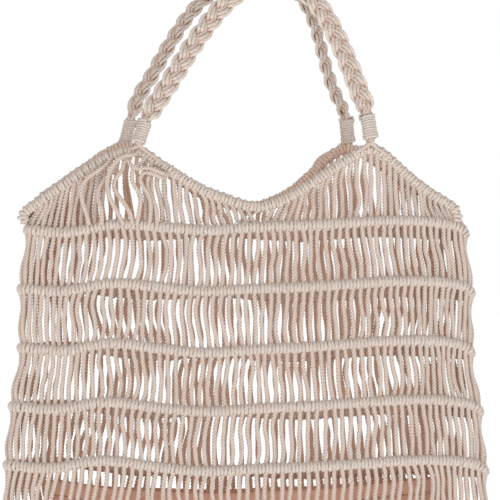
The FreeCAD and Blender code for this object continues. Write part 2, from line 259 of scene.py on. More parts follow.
class Row:
    """One row of knots worked round the bag, its back hanging lower than its front."""

    def __init__(self, number):
        outer_half_width, half_depth, back_drop = ROWS[number - 1]
        self.number = number
        self.lens = Lens(outer_half_width - ROW_DIAMETER / 2, half_depth, ROW_END_RADIUS)
        self.level = ROW_1_LEVEL - ROW_PITCH * (number - 1)
        self.tilt = math.asin(back_drop / (2 * half_depth))

    def point(self, share, side):
        """Points of the row's middle line, at shares of the way from the middle to a side."""
        x, depth, _, _ = self.lens.place(share)
        y = side * depth
        wave = smooth_line(share, FRONT_WAVE if side == FRONT else BACK_WAVE)
        own = (ROW_SWAY * np.sin(ROW_SWAY_TURN * share + ROW_SWAY_STEP * self.number)
               * (1 - np.asarray(share) ** 2))
        lift = LEFT_SIDE_LIFT[self.number - 1] * smooth_line(share, LIFT_FADES)
        return np.stack([x, y * math.cos(self.tilt),
                         self.level - y * math.sin(self.tilt) + wave + own + lift], -1)

    def outward(self, share, side):
        """Which way is out of the bag there."""
        _, _, normal_x, normal_depth = self.lens.place(share)
        return np.stack([normal_x, side * normal_depth, np.zeros_like(normal_x)], -1)

    def along(self, share, side):
        """The row's direction there, from left to right."""
        step = 0.002
        return unit(self.point(np.minimum(share + step, 1), side)
                    - self.point(np.maximum(share - step, -1), side))


ALL_ROWS = [Row(number) for number in range(1, len(ROWS) + 1)]


def cord_shares():
    """Where the cords of one side cross every row, from the left side to the right."""
    even = 2 * (np.arange(CORDS_PER_SIDE) + 0.5) / CORDS_PER_SIDE - 1
    return even * (1 + SIDE_CROWDING) - SIDE_CROWDING * even ** 3


def shares_in_row(row, side):
    """The same, in one row: each row has slid a little to the left or right of the next."""
    share = cord_shares()
    rng = np.random.default_rng(50 + 2 * row.number + side)
    places = np.linspace(-1, 1, SLIDE_PLACES)
    knots = list(zip(places, rng.normal(0, ROW_SLIDE, SLIDE_PLACES)))
    return share + smooth_line(share, knots) * (1 - share ** 4)


# ---------------------------------------------------------------- cord meshes

def side_directions(paths, sideways, closed):
    """Two directions across each cord, which turn as little as can be on its way."""
    if closed:
        along = unit(np.roll(paths, -1, 1) - np.roll(paths, 1, 1))
        first = square_to(along, sideways)
    else:
        along = unit(np.gradient(paths, axis=1))
        first = np.empty_like(paths)
        last = np.broadcast_to(sideways, paths.shape)[:, 0]
        for step in range(paths.shape[1]):
            last = square_to(along[:, step], last)
            first[:, step] = last
    return first, np.cross(along, first)


def twisted_cords(paths, diameter, lay, rng, sideways=(1.0, 0.0, 0.0), ply=CORD_PLY, closed=False,
                  outward=None, turns=None, swell=None):
    """Three-ply cords along paths of equal point counts, as arrays for one mesh."""
    paths = np.asarray(paths, float)
    count, points, _ = paths.shape
    first, second = side_directions(paths, np.asarray(sideways, float), closed)
    steps = np.linalg.norm(np.diff(paths, axis=1), axis=2)
    length = np.concatenate([np.zeros((count, 1)), np.cumsum(steps, 1)], 1)
    start = rng.uniform(0, 2 * math.pi, (count, 1))
    if closed:
        twist = start + 2 * math.pi * turns * np.arange(points) / points
    else:
        twist = start + 2 * math.pi * length / lay
    turn = np.radians([120 * n + degrees for n in range(PLIES) for degrees, _, _ in ply])
    reach = np.array([share for _ in range(PLIES) for _, share, _ in ply]) * diameter / 2
    painted_groove_shade = np.array([deep for _ in range(PLIES) for _, _, deep in ply])
    ring = len(turn)
    angle = twist[:, :, None] + turn
    direction = (np.cos(angle)[..., None] * first[:, :, None]
                 + np.sin(angle)[..., None] * second[:, :, None])
    size = reach if swell is None else reach * np.asarray(swell)[..., None]
    vertices = paths[:, :, None] + direction * size[..., None]
    # inside: how far a face turns into the bag, where the material paints shade
    if outward is None:
        inside = np.zeros((count, points, ring))
    else:
        inside = np.clip(-(direction * outward[:, :, None]).sum(-1), 0, 1)
    tone = np.broadcast_to(rng.normal(0, 1, (count, 1, 1)), inside.shape)

    index = np.arange(count * points * ring).reshape(count, points, ring)
    here = index if closed else index[:, :-1]
    beyond = np.roll(index, -1, 1) if closed else index[:, 1:]
    if closed:                # the last ring meets the first, turned by the plies' whole twist
        beyond[:, -1] = np.roll(beyond[:, -1], -round(turns * ring), -1)
    quads = np.stack([here, np.roll(here, -1, 2), np.roll(beyond, -1, 2), beyond], -1)
    step_length = length[:, -1:] / max(points - 1, 1)
    along_mm = np.arange(points) * step_length
    u = np.stack([along_mm, along_mm + step_length], -1)[:, :here.shape[1], None, :]
    v = np.arange(ring) * math.pi * diameter / ring
    v = np.stack([v, v + math.pi * diameter / ring], -1)
    uv = np.empty(quads.shape + (2,))
    uv[..., 0] = u[..., [0, 0, 1, 1]]
    uv[..., 1] = v[:, [0, 1, 1, 0]]
    caps = np.empty((0, ring), int)
    if not closed:
        caps = np.concatenate([index[:, 0, ::-1], index[:, -1]])
    return {"vertices": vertices.reshape(-1, 3), "quads": quads.reshape(-1, 4), "caps": caps,
            "uv": uv.reshape(-1, 2),
            "crevice": np.broadcast_to(painted_groove_shade, inside.shape).ravel(),
            "inside": inside.ravel(), "tone": tone.ravel()}


def sheet_between(outer, inner, wrapped=False):
    """A closed leather sheet between two grids of points, as arrays for one mesh."""
    rows, columns, _ = outer.shape
    index = np.arange(rows * columns).reshape(rows, columns)
    right = np.roll(index, -1, 1) if wrapped else index[:, 1:]
    left = index if wrapped else index[:, :-1]
    face = np.stack([left[:-1], right[:-1], right[1:], left[1:]], -1).reshape(-1, 4)
    back = face[:, ::-1] + rows * columns
    other = rows * columns
    edges = [np.stack([left[0], left[0] + other, right[0] + other, right[0]], -1),
             np.stack([left[-1], right[-1], right[-1] + other, left[-1] + other], -1)]
    if not wrapped:
        for column, flip in ((0, False), (-1, True)):
            low, high = index[:-1, column], index[1:, column]
            strip = np.stack([low, high, high + other, low + other], -1)
            edges.append(strip[:, ::-1] if flip else strip)
    quads = np.concatenate([face, back] + edges)
    vertices = np.concatenate([outer.reshape(-1, 3), inner.reshape(-1, 3)])
    zero = np.zeros(len(vertices))
    return {"vertices": vertices, "quads": quads, "caps": np.empty((0, 3), int),
            "uv": np.zeros((quads.size, 2)), "crevice": zero, "inside": zero, "tone": zero}


def in_frame(points):
    """Points in millimetres about the bag's middle, as metres about the hang point."""
    return (points + (BAG_MIDDLE_X, 0, 0)) * MM


def make_piece(name, parts, material, body=None, stands_for=()):
    """One object from the arrays of several parts, with its material and its place in the bag."""
    corners, starts, uv = [], [], []
    offset = total = 0
    for part in parts:
        for faces in (part["quads"], part["caps"]):
            if len(faces):
                corners.append(faces.ravel() + offset)
                starts.append(total + np.arange(len(faces)) * faces.shape[1])
                total += faces.size
        uv += [part["uv"], np.zeros((part["caps"].size, 2))]
        offset += len(part["vertices"])
    points = np.concatenate([part["vertices"] for part in parts])
    points[:, 0] += RIGHT_SIDE_PULL * np.clip(points[:, 0] / PULL_REACH, 0, 2) ** 2
    corners, starts = np.concatenate(corners), np.concatenate(starts)
    mesh = bpy.data.meshes.new(name)
    mesh.vertices.add(len(points))
    mesh.vertices.foreach_set("co", in_frame(points).astype(np.float32).ravel())
    mesh.loops.add(len(corners))
    mesh.loops.foreach_set("vertex_index", corners.astype(np.int32))
    mesh.polygons.add(len(starts))
    mesh.polygons.foreach_set("loop_start", starts.astype(np.int32))
    mesh.update(calc_edges=True)
    for attribute in ("crevice", "inside", "tone"):
        values = np.concatenate([part[attribute] for part in parts]).astype(np.float32)
        mesh.attributes.new(attribute, "FLOAT", "POINT").data.foreach_set("value", values)
    layer = mesh.uv_layers.new(name="cord")
    layer.data.foreach_set("uv", np.concatenate(uv).astype(np.float32).ravel())
    if mesh.validate():
        raise ValueError(name + " has faces that do not close up")
    mesh.shade_smooth()
    mesh.materials.append(material)
    made = bpy.data.objects.new(name, mesh)
    bpy.context.collection.objects.link(made)
    if stands_for:
        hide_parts(*stands_for)
    if body:
        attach(made, body)
    return made


def route_line(points, spacing):
    """Evenly spaced points of the smooth curve that a few chosen points pull into shape."""
    curve = bpy.data.curves.new("route", "CURVE")
    curve.dimensions = "3D"
    curve.resolution_u = 24
    spline = curve.splines.new("NURBS")
    spline.points.add(len(points) - 1)
    for made, point in zip(spline.points, points):
        made.co = (*point, 1.0)
    spline.order_u = 3
    spline.use_endpoint_u = True
    holder = bpy.data.objects.new("route", curve)
    mesh = bpy.data.meshes.new_from_object(holder)
    line = np.array([vertex.co for vertex in mesh.vertices], float)
    bpy.data.objects.remove(holder)
    bpy.data.curves.remove(curve)
    bpy.data.meshes.remove(mesh)
    way = travelled(line)
    wanted = np.linspace(0, way[-1], max(3, round(way[-1] / spacing) + 1))
    return np.stack([np.interp(wanted, way, line[:, axis]) for axis in range(3)], -1)


# ---------------------------------------------------------------- materials

def linear(hex_colour):
    """A colour written in sRGB hex, as linear red, green and blue."""
    parts = [int(hex_colour[start:start + 2], 16) / 255 for start in (1, 3, 5)]
    return tuple(c / 12.92 if c <= 0.04045 else ((c + 0.055) / 1.055) ** 2.4 for c in parts)


def add_node(tree, kind, inputs=None, **settings):
    """Add a node; inputs gives a value or another node's output for each socket."""
    made = tree.nodes.new("ShaderNode" + kind)
    for name, value in settings.items():
        setattr(made, name, value)
    for socket, value in (inputs or {}).items():
        if isinstance(value, bpy.types.NodeSocket):
            tree.links.new(value, made.inputs[socket])
        else:
            made.inputs[socket].default_value = value
    return made


def new_material(name):
    """An empty material with a shader, and its node tree."""
    material = bpy.data.materials.new(name)
    material.use_nodes = True
    tree = material.node_tree
    return material, tree, tree.nodes["Principled BSDF"]


def mixed(tree, share, first, second):
    """One colour laid over another by a share."""
    return add_node(tree, "MixRGB", {"Fac": share, "Color1": first,
                                     "Color2": second}).outputs["Color"]


def remapped(tree, value, low, high, to_low, to_high):
    """A value that runs between two limits, stretched to lie between two others."""
    return add_node(tree, "MapRange", {"Value": value, "From Min": low, "From Max": high,
                                       "To Min": to_low, "To Max": to_high}).outputs["Result"]


# For each cotton: the colour of its plies' faces, and how far its cords differ in tone. Knots and
# braids take a darker face than the loose cords of the same cotton: painted shade against the
# stronger light that reaches them.
COTTONS = {
    "Twisted cotton cord": ("cotton", 0.5),
    "Knotted cotton cord": ("painted_shade_cotton", 0.25),
    "Braided cotton cord": ("painted_shade_cotton", 0.25),
    "Waxed cotton thread": ("thread", 0.2),
}


def cotton(name):
    """Three-ply cotton cord, washed and undyed with a blush cast: matt, soft, with a faint bloom
    of loose fibre, painted shade in the grooves between its plies and strands, and painted shade
    on faces turned into the bag."""
    existing = bpy.data.materials.get(name)
    if existing:
        return existing
    face, tone_strength = COTTONS[name]
    colours = bag_colours()
    material, tree, shader = new_material(name)
    crevice, inside, tone = (add_node(tree, "Attribute", attribute_name=kind).outputs["Fac"]
                             for kind in ("crevice", "inside", "tone"))
    uv = add_node(tree, "UVMap", uv_map="cord").outputs["UV"]
    place = add_node(tree, "TexCoord").outputs["Object"]

    # Yarn fibres: real ones are 0.02 mm thick, drawn 0.35 mm wide and 2 mm long so that they show.
    stretched = add_node(tree, "Mapping", {"Vector": uv, "Scale": (0.5, 2.8, 1.0)})
    fibre = add_node(tree, "TexNoise", {"Vector": stretched.outputs["Vector"], "Scale": 1.0,
                                        "Detail": 3.0, "Roughness": 0.6}).outputs["Fac"]
    # Uneven yarn and dye, in patches about 9 mm across.
    patch = add_node(tree, "TexNoise", {"Vector": place, "Scale": 110.0, "Detail": 2.0,
                                        "Roughness": 0.5}).outputs["Fac"]

    # Painted shade in the grooves between plies and braid strands and on the plies' flanks: the
    # deeper a point lies (crevice), the darker and warmer its colour.
    painted_groove_shade = add_node(tree, "ValToRGB", {"Fac": crevice})
    stops = painted_groove_shade.color_ramp.elements
    stops.new(0.5)
    for stop, depth, part in zip(stops, (0.18, 0.55, 1.0), (face, "shade", "painted_groove_shade")):
        stop.position, stop.color = depth, colours[part]
    colour = mixed(tree, remapped(tree, tone, -2.0, 2.0, 0.0, tone_strength),
                   painted_groove_shade.outputs["Color"], colours["shade"])
    colour = mixed(tree, remapped(tree, patch, 0.35, 0.65, 0.0, 0.22), colour, colours["shade"])
    colour = mixed(tree, remapped(tree, fibre, 0.35, 0.7, 0.0, 0.35), colour, colours["fibre"])
    # Painted shade on cord faces turned into the bag (inside), warmer and darker.
    colour = mixed(tree, remapped(tree, inside, 0.15, 0.9, 0.0, 0.62), colour,
                   colours["lining"])
    # The plies stand about 0.5 mm out of the grooves between them, the fibres 0.1 mm.
    ply = add_node(tree, "Bump", {"Height": crevice, "Strength": 1.0, "Distance": 0.0005},
                   invert=True)
    bump = add_node(tree, "Bump", {"Height": fibre, "Strength": 0.5, "Distance": 0.00025,
                                   "Normal": ply.outputs["Normal"]})
    tree.links.new(colour, shader.inputs["Base Color"])
    tree.links.new(bump.outputs["Normal"], shader.inputs["Normal"])
    for socket, value in (("Roughness", 0.9), ("Specular IOR Level", 0.25),
                          ("Sheen Weight", 0.25), ("Sheen Roughness", 0.5)):
        shader.inputs[socket].default_value = value
    return material


def leather(name):
    """Smooth vegetable-tanned cowhide: fine pebbled grain about 1 mm across, faint creases and a
    low, broad gloss."""
    existing = bpy.data.materials.get(name)
    if existing:
        return existing
    colours = bag_colours()
    material, tree, shader = new_material(name)
    place = add_node(tree, "TexCoord").outputs["Object"]
    grain = add_node(tree, "TexVoronoi", {"Vector": place, "Scale": 1000.0},
                     feature="DISTANCE_TO_EDGE").outputs["Distance"]
    crease = add_node(tree, "TexNoise", {"Vector": place, "Scale": 60.0, "Detail": 6.0,
                                         "Roughness": 0.62}).outputs["Fac"]
    cloud = add_node(tree, "TexNoise", {"Vector": place, "Scale": 14.0,
                                        "Detail": 3.0}).outputs["Fac"]
    tan = mixed(tree, remapped(tree, cloud, 0.35, 0.65, 0.0, 1.0), colours["leather"],
                colours["leather_worn"])
    grained = mixed(tree, remapped(tree, grain, 0.0, 0.12, 0.35, 0.0), tan,
                    colours["leather_dark"])
    height = add_node(tree, "Math", {0: grain, 1: crease}, operation="ADD").outputs["Value"]
    bump = add_node(tree, "Bump", {"Height": height, "Strength": 0.35, "Distance": 0.0003})
    rough = remapped(tree, crease, 0.3, 0.7, 0.48, 0.66)
    tree.links.new(grained, shader.inputs["Base Color"])
    tree.links.new(bump.outputs["Normal"], shader.inputs["Normal"])
    tree.links.new(rough, shader.inputs["Roughness"])
    shader.inputs["Specular IOR Level"].default_value = 0.4
    return material


# ---------------------------------------------------------------- settings

def length_property(name, description, millimetres):
    """A length that a user may change."""
    return bpy.props.FloatProperty(name=name, description=description,
                                   default=millimetres * MM, min=0.0001, precision=4,
                                   subtype="DISTANCE", unit="LENGTH")


def colour_property(name, description, hex_colour):
    """A colour that a user may change."""
    return bpy.props.FloatVectorProperty(name=name, description=description, size=3,
                                         default=linear(hex_colour), min=0.0, max=1.0,
                                         subtype="COLOR")


class NetBagSizes(bpy.types.PropertyGroup):
    """Sizes of the cord, its knots and the braids"""
    cord_diameter: length_property(
        "Cord", "Diameter over the plies of the cord that the net is made of", 3.9)
    cord_lay: length_property("Lay", "Length in which a ply of the cord turns once", 7.6)
    loop_cord: length_property(
        "Knot cord", "Diameter of the cord where it is pulled into a knot", 3.8)
    loop_pitch: length_property(
        "Knot spacing", "Distance from one turn of a knot to the next", 2.95)
    braid_cord: length_property(
        "Braid cord", "Diameter of the cord in the braided handles", 3.3)
    braid_pitch: length_property(
        "Braid length", "Length in which a strand crosses over and back", 39.0)
    wrap_cord: length_property(
        "Whipping cord", "Diameter of the cord round the foot of a handle", 2.6)


class NetBagColours(bpy.types.PropertyGroup):
    """Colours of the cotton and the leather"""
    # One cotton: the knots' and braids' darker face is painted shade against the stronger light on
    # them, the loose cords' lighter face painted light against the deeper shade in the net.
    cotton: colour_property("Cotton", "Face of the plies in a loose cord", "#E5DCD3")
    painted_shade_cotton: colour_property("Painted shade cotton", "Face of the plies in a knot or a braid", "#DFD4CA")
    # Painted shade on the plies' flanks; also the real colour of darker cords and of patches of
    # uneven yarn and dye.
    shade: colour_property("Cotton shade", "Flanks of the plies and darker cords", "#D8C2B3")
    # Painted shade at the bottom of the grooves between plies and strands.
    painted_groove_shade: colour_property("Cotton groove", "Bottom of the grooves between plies", "#AC765C")
    fibre: colour_property("Loose fibre", "Fine light fibres on the cord", "#E8DFD7")
    # Painted shade on cord faces turned into the bag.
    lining: colour_property("Painted inner shade", "Cord faces turned into the bag", "#F3C3A5")
    leather: colour_property("Leather", "Main colour of the pouch", "#EBBAA1")
    leather_worn: colour_property("Leather worn", "Lighter clouds in the leather", "#F2C7AF")
    leather_dark: colour_property("Leather grain", "Valleys of the leather's grain", "#C28B72")
    thread: colour_property("Thread", "Stitches of the pouch's hem", "#C79C86")


def millimetres(value):
    """A length property's value in millimetres."""
    return value / MM


def bag_colours():
    """The colours as they are set now, each with a full alpha."""
    group = bpy.context.scene.net_bag_colours
    return {name: (*getattr(group, name), 1) for name in NetBagColours.__annotations__}


def net_cord(paths, sizes, rng, **how):
    """The loose cord of the net along paths."""
    return twisted_cords(paths, millimetres(sizes.cord_diameter), millimetres(sizes.cord_lay),
                         rng, **how)


# ---------------------------------------------------------------- knots

LOOP_POINTS = 18
LOOP_TWIST = 5 / 3            # turns of the plies in one loop; in thirds, so that its ends meet
LOOP_STRAY = 0.09             # of how far a loop stands out
LOOP_PLACE_STRAY = 0.12
LOOP_LEAN = 1.5               # degrees
LOOP_LEAN_STRAY = 3.0         # degrees
ROW_LOOP_TIGHTNESS = 0.2      # how much narrower the loops lie than the plain tube of a row
ROW_BEADING = 0.12            # how far each second loop stands out
RIM_LOOP_TIGHTNESS = 0.4
RIM_BEADING = 0.3
ROW_CORE_POINTS = 180         # on each side of a row's holding cord


def knot_loops(centres, along, outward, diameter, sizes, rng, beading=0.0):
    """The turns of a line of hitches round their holding cord; each second one may stand out."""
    count = len(centres)
    cord = millimetres(sizes.loop_cord)
    phi = np.arange(LOOP_POINTS) * 2 * math.pi / LOOP_POINTS
    up = unit(np.cross(along, outward))
    up = np.where(up[:, 2:3] < 0, -up, up)
    reach = ((diameter - cord) / 2 + rng.normal(0, LOOP_STRAY, (count, 1, 1))
             + beading * np.where(np.arange(count) % 2, 1, -1)[:, None, None])
    slant = np.tan(np.radians(LOOP_LEAN + rng.normal(0, LOOP_LEAN_STRAY, (count, 1, 1))))
    offset = rng.normal(0, LOOP_PLACE_STRAY, (count, 1, 3))
    circle = (np.cos(phi)[None, :, None] * outward[:, None]
              + np.sin(phi)[None, :, None] * up[:, None])
    paths = (centres[:, None] + offset + reach * circle
             + along[:, None] * reach * slant * np.sin(phi)[None, :, None])
    out = np.broadcast_to(outward[:, None], paths.shape)
    return twisted_cords(paths, cord, 1.0, rng, sideways=along[:, None], ply=LOOP_PLY,
                         closed=True, turns=LOOP_TWIST, outward=out)


class NETBAG_OT_row_knots(bpy.types.Operator):
    """Make each row of hitches round the bag, and the holding cord inside it"""
    bl_idname = "netbag.row_knots"
    bl_label = "Rows of Knots"

    def execute(self, context):
        sizes = context.scene.net_bag_sizes
        for row in ALL_ROWS:
            rng = np.random.default_rng(100 + row.number)
            count = round(2 * row.lens.half_length / millimetres(sizes.loop_pitch))
            share = 2 * (np.arange(count) + 0.5) / count - 1
            loops = [knot_loops(row.point(share, side), row.along(share, side),
                                row.outward(share, side), ROW_DIAMETER - ROW_LOOP_TIGHTNESS,
                                sizes, rng, beading=ROW_BEADING) for side in (FRONT, BACK)]
            name = "row_%d_" % row.number
            make_piece(name + "knots", loops, cotton("Knotted cotton cord"), "net",
                       [name + "hitches"])
            steps = np.linspace(-1, 1, ROW_CORE_POINTS)
            ring = np.concatenate([row.point(steps, FRONT), row.point(steps[::-1], BACK)[1:]])
            core = net_cord(ring[None], sizes, rng, sideways=(0.0, 0.0, 1.0))
            make_piece(name + "core_cord", [core], cotton("Twisted cotton cord"),
                       "net", [name + "holding_cord"])
        return {"FINISHED"}


def seam_sway(x):
    """How far the bottom seam has risen at a distance from its middle."""
    return SEAM_SWAY * np.sin(x / SEAM_SWAY_REACH)


class NETBAG_OT_bottom_seam(bpy.types.Operator):
    """Make the line of hitches that closes the bottom of the bag"""
    bl_idname = "netbag.bottom_seam"
    bl_label = "Bottom Seam"

    def execute(self, context):
        sizes = context.scene.net_bag_sizes
        rng = np.random.default_rng(200)
        count = round(2 * SEAM_HALF_LENGTH / millimetres(sizes.loop_pitch))
        x = np.linspace(-SEAM_HALF_LENGTH + SEAM_END, SEAM_HALF_LENGTH - SEAM_END, count)
        centres = np.stack([x, 0 * x, SEAM_LEVEL + seam_sway(x)], -1)
        along = unit(np.gradient(centres, axis=0))
        outward = np.broadcast_to((0.0, -1.0, 0.0), centres.shape)
        loops = knot_loops(centres, along, outward, RIM_DIAMETER, sizes, rng)
        make_piece("bottom_seam_knots", [loops], cotton("Knotted cotton cord"),
                   "net", ["bottom_seam_hitches"])
        core = net_cord(centres[None], sizes, rng, sideways=(0.0, 0.0, 1.0))
        make_piece("bottom_seam_core_cord", [core], cotton("Twisted cotton cord"),
                   "net", ["bottom_seam_holding_cord"])
        return {"FINISHED"}


# ---------------------------------------------------------------- upright cords

CORD_STEP = 0.72              # along a cord, from one ring of its mesh to the next

# How far a slack cord strays: along with its neighbours, and by itself
BOW = (1.25, 0.42)            # sideways in one arc
SWING = (0.75, 0.30)          # sideways in an S
STANDING_OUT = (0.9, 0.45)
RIPPLE = 0.18
NEIGHBOURS = 3.6              # cords to either side that stray alike
SMOOTHED_OVER = 9             # cords to either side that are counted in that
PAIRING_CHANCE = 0.13         # that a cord and the next one draw together
PAIRING = 0.8
TUCK = 1.7                    # into the bag at the top of a band, out of it at the bottom
SIDE_CORDS = 6                # cords next to the bag's side, which are held straighter
FIRM_SHARE = 0.25             # of the straying that the last one keeps

# Where a cord leaves a row and where it runs into one: outward of its middle, and above it
OUT_OF_ROW = (1.3, -2.2)
INTO_ROW = (-0.8, 2.4)
RIM_SEAT = (1.2, -2.2)


def loose_fall(starts, ends, along, outward, rng, points, looseness, belly):
    """Cords from starts to ends that lean, bow and draw together a little, as slack cords do."""
    count = len(starts)
    u = np.arange(points) / (points - 1)
    reach = np.arange(-SMOOTHED_OVER, SMOOTHED_OVER + 1)
    smooth = np.exp(-(reach / NEIGHBOURS) ** 2)
    smooth /= np.sqrt((smooth ** 2).sum())
    shared = [np.convolve(rng.normal(0, 1, count + 2 * SMOOTHED_OVER), smooth, "valid")
              for _ in range(3)]
    own = rng.normal(0, 1, (4, count))
    bow, swing, depth = (size[0] * shared[place] + size[1] * own[place]
                         for place, size in enumerate((BOW, SWING, STANDING_OUT)))
    pull = np.zeros(count)
    for first in range(1, count - 2):
        if rng.random() < PAIRING_CHANCE:
            pull[first] += PAIRING
            pull[first + 1] -= PAIRING
    from_side = np.minimum(np.arange(count), np.arange(count)[::-1])
    edge = np.minimum(1, from_side / SIDE_CORDS + FIRM_SHARE)
    bow, swing, depth, pull, ripple = ((part * edge * looseness)[:, None] for part in (
        bow, swing, depth, pull, RIPPLE * own[3]))
    hump = np.sin(math.pi * u)
    across = (bow * hump + swing * np.sin(2 * math.pi * u) + pull * hump ** 1.5
              + ripple * np.sin(5 * math.pi * u) + belly[:, None] * hump)
    tuck = -TUCK * looseness * np.abs(outward[:, :1]) * np.sin(2 * math.pi * u)
    return (starts[:, None] + (ends - starts)[:, None] * u[None, :, None]
            + along[:, None] * across[..., None]
            + outward[:, None] * (depth * hump + tuck)[..., None])


def cord_end(row, share, side, seat):
    """Where cords leave a row of knots or run into it."""
    return row.point(share, side) + seat[0] * row.outward(share, side) + (0, 0, seat[1])


def upright_cords(starts, ends, along, outward, sizes, rng, looseness=1.0, belly=None):
    """The mesh arrays of a set of upright cords; belly is how far each bulges to the right."""
    longest = np.linalg.norm(ends - starts, axis=1).max()
    points = max(6, round(longest / CORD_STEP) + 1)
    belly = np.zeros(len(starts)) if belly is None else belly
    paths = loose_fall(starts, ends, along, outward, rng, points, looseness, belly)
    return net_cord(paths, sizes, rng, outward=np.broadcast_to(outward[:, None], paths.shape))


class NETBAG_OT_band_cords(bpy.types.Operator):
    """Make the upright cords between each row of knots and the next"""
    bl_idname = "netbag.band_cords"
    bl_label = "Upright Cords"

    def execute(self, context):
        sizes = context.scene.net_bag_sizes
        for upper, lower in zip(ALL_ROWS, ALL_ROWS[1:]):
            for side, name in SIDES:
                rng = np.random.default_rng(300 + 10 * upper.number + side)
                share = shares_in_row(upper, side)
                near_side = np.sign(share) * np.abs(share) ** BELLY_FADES
                below = shares_in_row(lower, side)
                cords = upright_cords(cord_end(upper, share, side, OUT_OF_ROW),
                                      cord_end(lower, below, side, INTO_ROW),
                                      upper.along(share, side), upper.outward(share, side),
                                      sizes, rng, belly=SIDE_BELLY[upper.number - 1] * near_side)
                make_piece("%s_band_%d_cords" % (name, upper.number), [cords],
                           cotton("Twisted cotton cord"), "net",
                           ["%s_cords_%d" % (name, upper.number)])
        return {"FINISHED"}


class NETBAG_OT_base_cords(bpy.types.Operator):
    """Make the cords that draw in from the last row to the bottom seam"""
    bl_idname = "netbag.base_cords"
    bl_label = "Base Cords"

    def execute(self, context):
        sizes = context.scene.net_bag_sizes
        share = cord_shares()
        last = ALL_ROWS[-1]
        for side, name in SIDES:
            rng = np.random.default_rng(400 + side)
            x = (SEAM_HALF_LENGTH - millimetres(sizes.cord_diameter)) * share
            ends = np.stack([x, np.full_like(x, side * SEAM_CORD_OFFSET),
                             SEAM_LEVEL + SEAM_SEAT + seam_sway(x)], -1)
            cords = upright_cords(cord_end(last, share, side, OUT_OF_ROW), ends,
                                  last.along(share, side), last.outward(share, side), sizes,
                                  rng, looseness=0.5)
            make_piece(name + "_bottom_cords", [cords], cotton("Twisted cotton cord"),
                       "net", [name + "_base_cords"])
        return {"FINISHED"}


# ---------------------------------------------------------------- rims of the mouth

def rim_line(side, spacing):
    """Middle line of a rim: up from a side corner, over a peak, through the valley and back."""
    lens = ALL_ROWS[0].lens
    outline = FRONT_RIM if side == FRONT else BACK_RIM
    return route_line([(x, side * max(RIM_CORNER_DEPTH, float(lens.depth_at(x))), z)
                       for x, z in outline], spacing)


RIM_TURN = 0.35 / 170         # how far a rim faces sideways, for each mm from the bag's middle
RIM_CORE_STEP = 1.5           # along the holding cord of a rim


def rim_outward(line, side):
    """Which way is out of the bag along a rim, turned a little to the sides at its ends."""
    outward = np.zeros_like(line)
    outward[:, 1] = side
    outward[:, 0] = RIM_TURN * line[:, 0]
    return unit(outward)


class NETBAG_OT_rims(bpy.types.Operator):
    """Make both rims of the mouth with their holding cords"""
    bl_idname = "netbag.rims"
    bl_label = "Rims"

    def execute(self, context):
        sizes = context.scene.net_bag_sizes
        for side, name in SIDES:
            rng = np.random.default_rng(500 + side)
            line = rim_line(side, millimetres(sizes.loop_pitch))
            along = unit(np.gradient(line, axis=0))
            outward = square_to(along, rim_outward(line, side))
            loops = knot_loops(line[1:-1], along[1:-1], outward[1:-1],
                               RIM_DIAMETER - RIM_LOOP_TIGHTNESS, sizes, rng,
                               beading=RIM_BEADING)
            make_piece(name + "_rim_knots", [loops], cotton("Knotted cotton cord"),
                       "net", [name + "_rim_hitches"])
            core = net_cord(rim_line(side, RIM_CORE_STEP)[None], sizes, rng,
                            sideways=(0.0, 1.0, 0.0))
            make_piece(name + "_rim_core_cord", [core], cotton("Twisted cotton cord"),
                       "net", [name + "_rim_holding_cord"])
        return {"FINISHED"}


RIM_STEP = 0.8                # along the rim's middle line, where cords and necks are seated
SHORTEST_FAN_CORD = 5.0
FAN_LENGTHS = (0, 14, 28, 42, 99)      # cords about as long as each other are made together
FULL_LOOSENESS_LENGTH = 36.0
MOST_LOOSENESS = 1.5

# The cords under the front's left peak have slipped into loops, and others trail from the wrap at
# the back's right peak: X, Y and Z of the points that pull them into shape.
SLACK_SPAN = (-114.0, -84.0)
SLACK_FRONT_CORDS = [
    [(-89, -22, -133), (-91.5, -25.5, -136), (-100.6, -28, -135.5), (-108.3, -28, -141.1),
     (-113.4, -27.5, -150), (-114.8, -27.5, -161.5), (-110.9, -28, -173), (-105.8, -27.5, -180.6),
     (-101.5, -24.5, -190)],
    [(-97, -22, -133), (-100.6, -24.5, -139.8), (-101.8, -25, -147.5), (-108.3, -25, -153.8),
     (-109.2, -25, -162.8), (-101.8, -26, -171.7), (-95.4, -26, -182), (-94, -24, -190)],
    [(-83.5, -23, -135), (-86.3, -26.5, -142.4), (-92.8, -27.5, -143.5), (-95.8, -27.5, -151.3),
     (-94.1, -27, -158.9), (-87.6, -27, -166.6), (-88.8, -27, -176.8), (-91, -24.5, -190)],
    [(-64, -25, -149), (-67, -28.5, -152), (-74.7, -29.5, -148.2), (-83.8, -29.5, -145),
     (-90.3, -29, -147), (-97.5, -26.5, -143), (-99, -22, -135)],
    [(-66, -24.5, -149), (-69, -27.5, -154.6), (-76.5, -28.5, -151), (-84.5, -28.5, -148.3),
     (-89, -27.5, -152), (-88, -27, -158), (-82, -27, -166), (-79.5, -26.5, -177),
     (-81, -24, -190)],
    [(-110, -21, -137), (-113.4, -24.5, -142.4), (-121.2, -25, -148), (-130.3, -24.5, -153.8),
     (-134.2, -24, -161.5), (-133.8, -24, -171.7), (-129.6, -23, -182), (-128, -20.5, -190)],
    [(-79, -24, -138), (-81.2, -25.5, -150), (-83.5, -24.5, -159), (-79.8, -24.5, -168),
     (-75, -26.5, -178), (-75, -25, -190)],
    [(-104, -21, -134), (-106, -22.5, -146), (-117.5, -23, -156), (-122.6, -23, -167),
     (-117.5, -25, -178), (-118.5, -22.5, -190)],
]
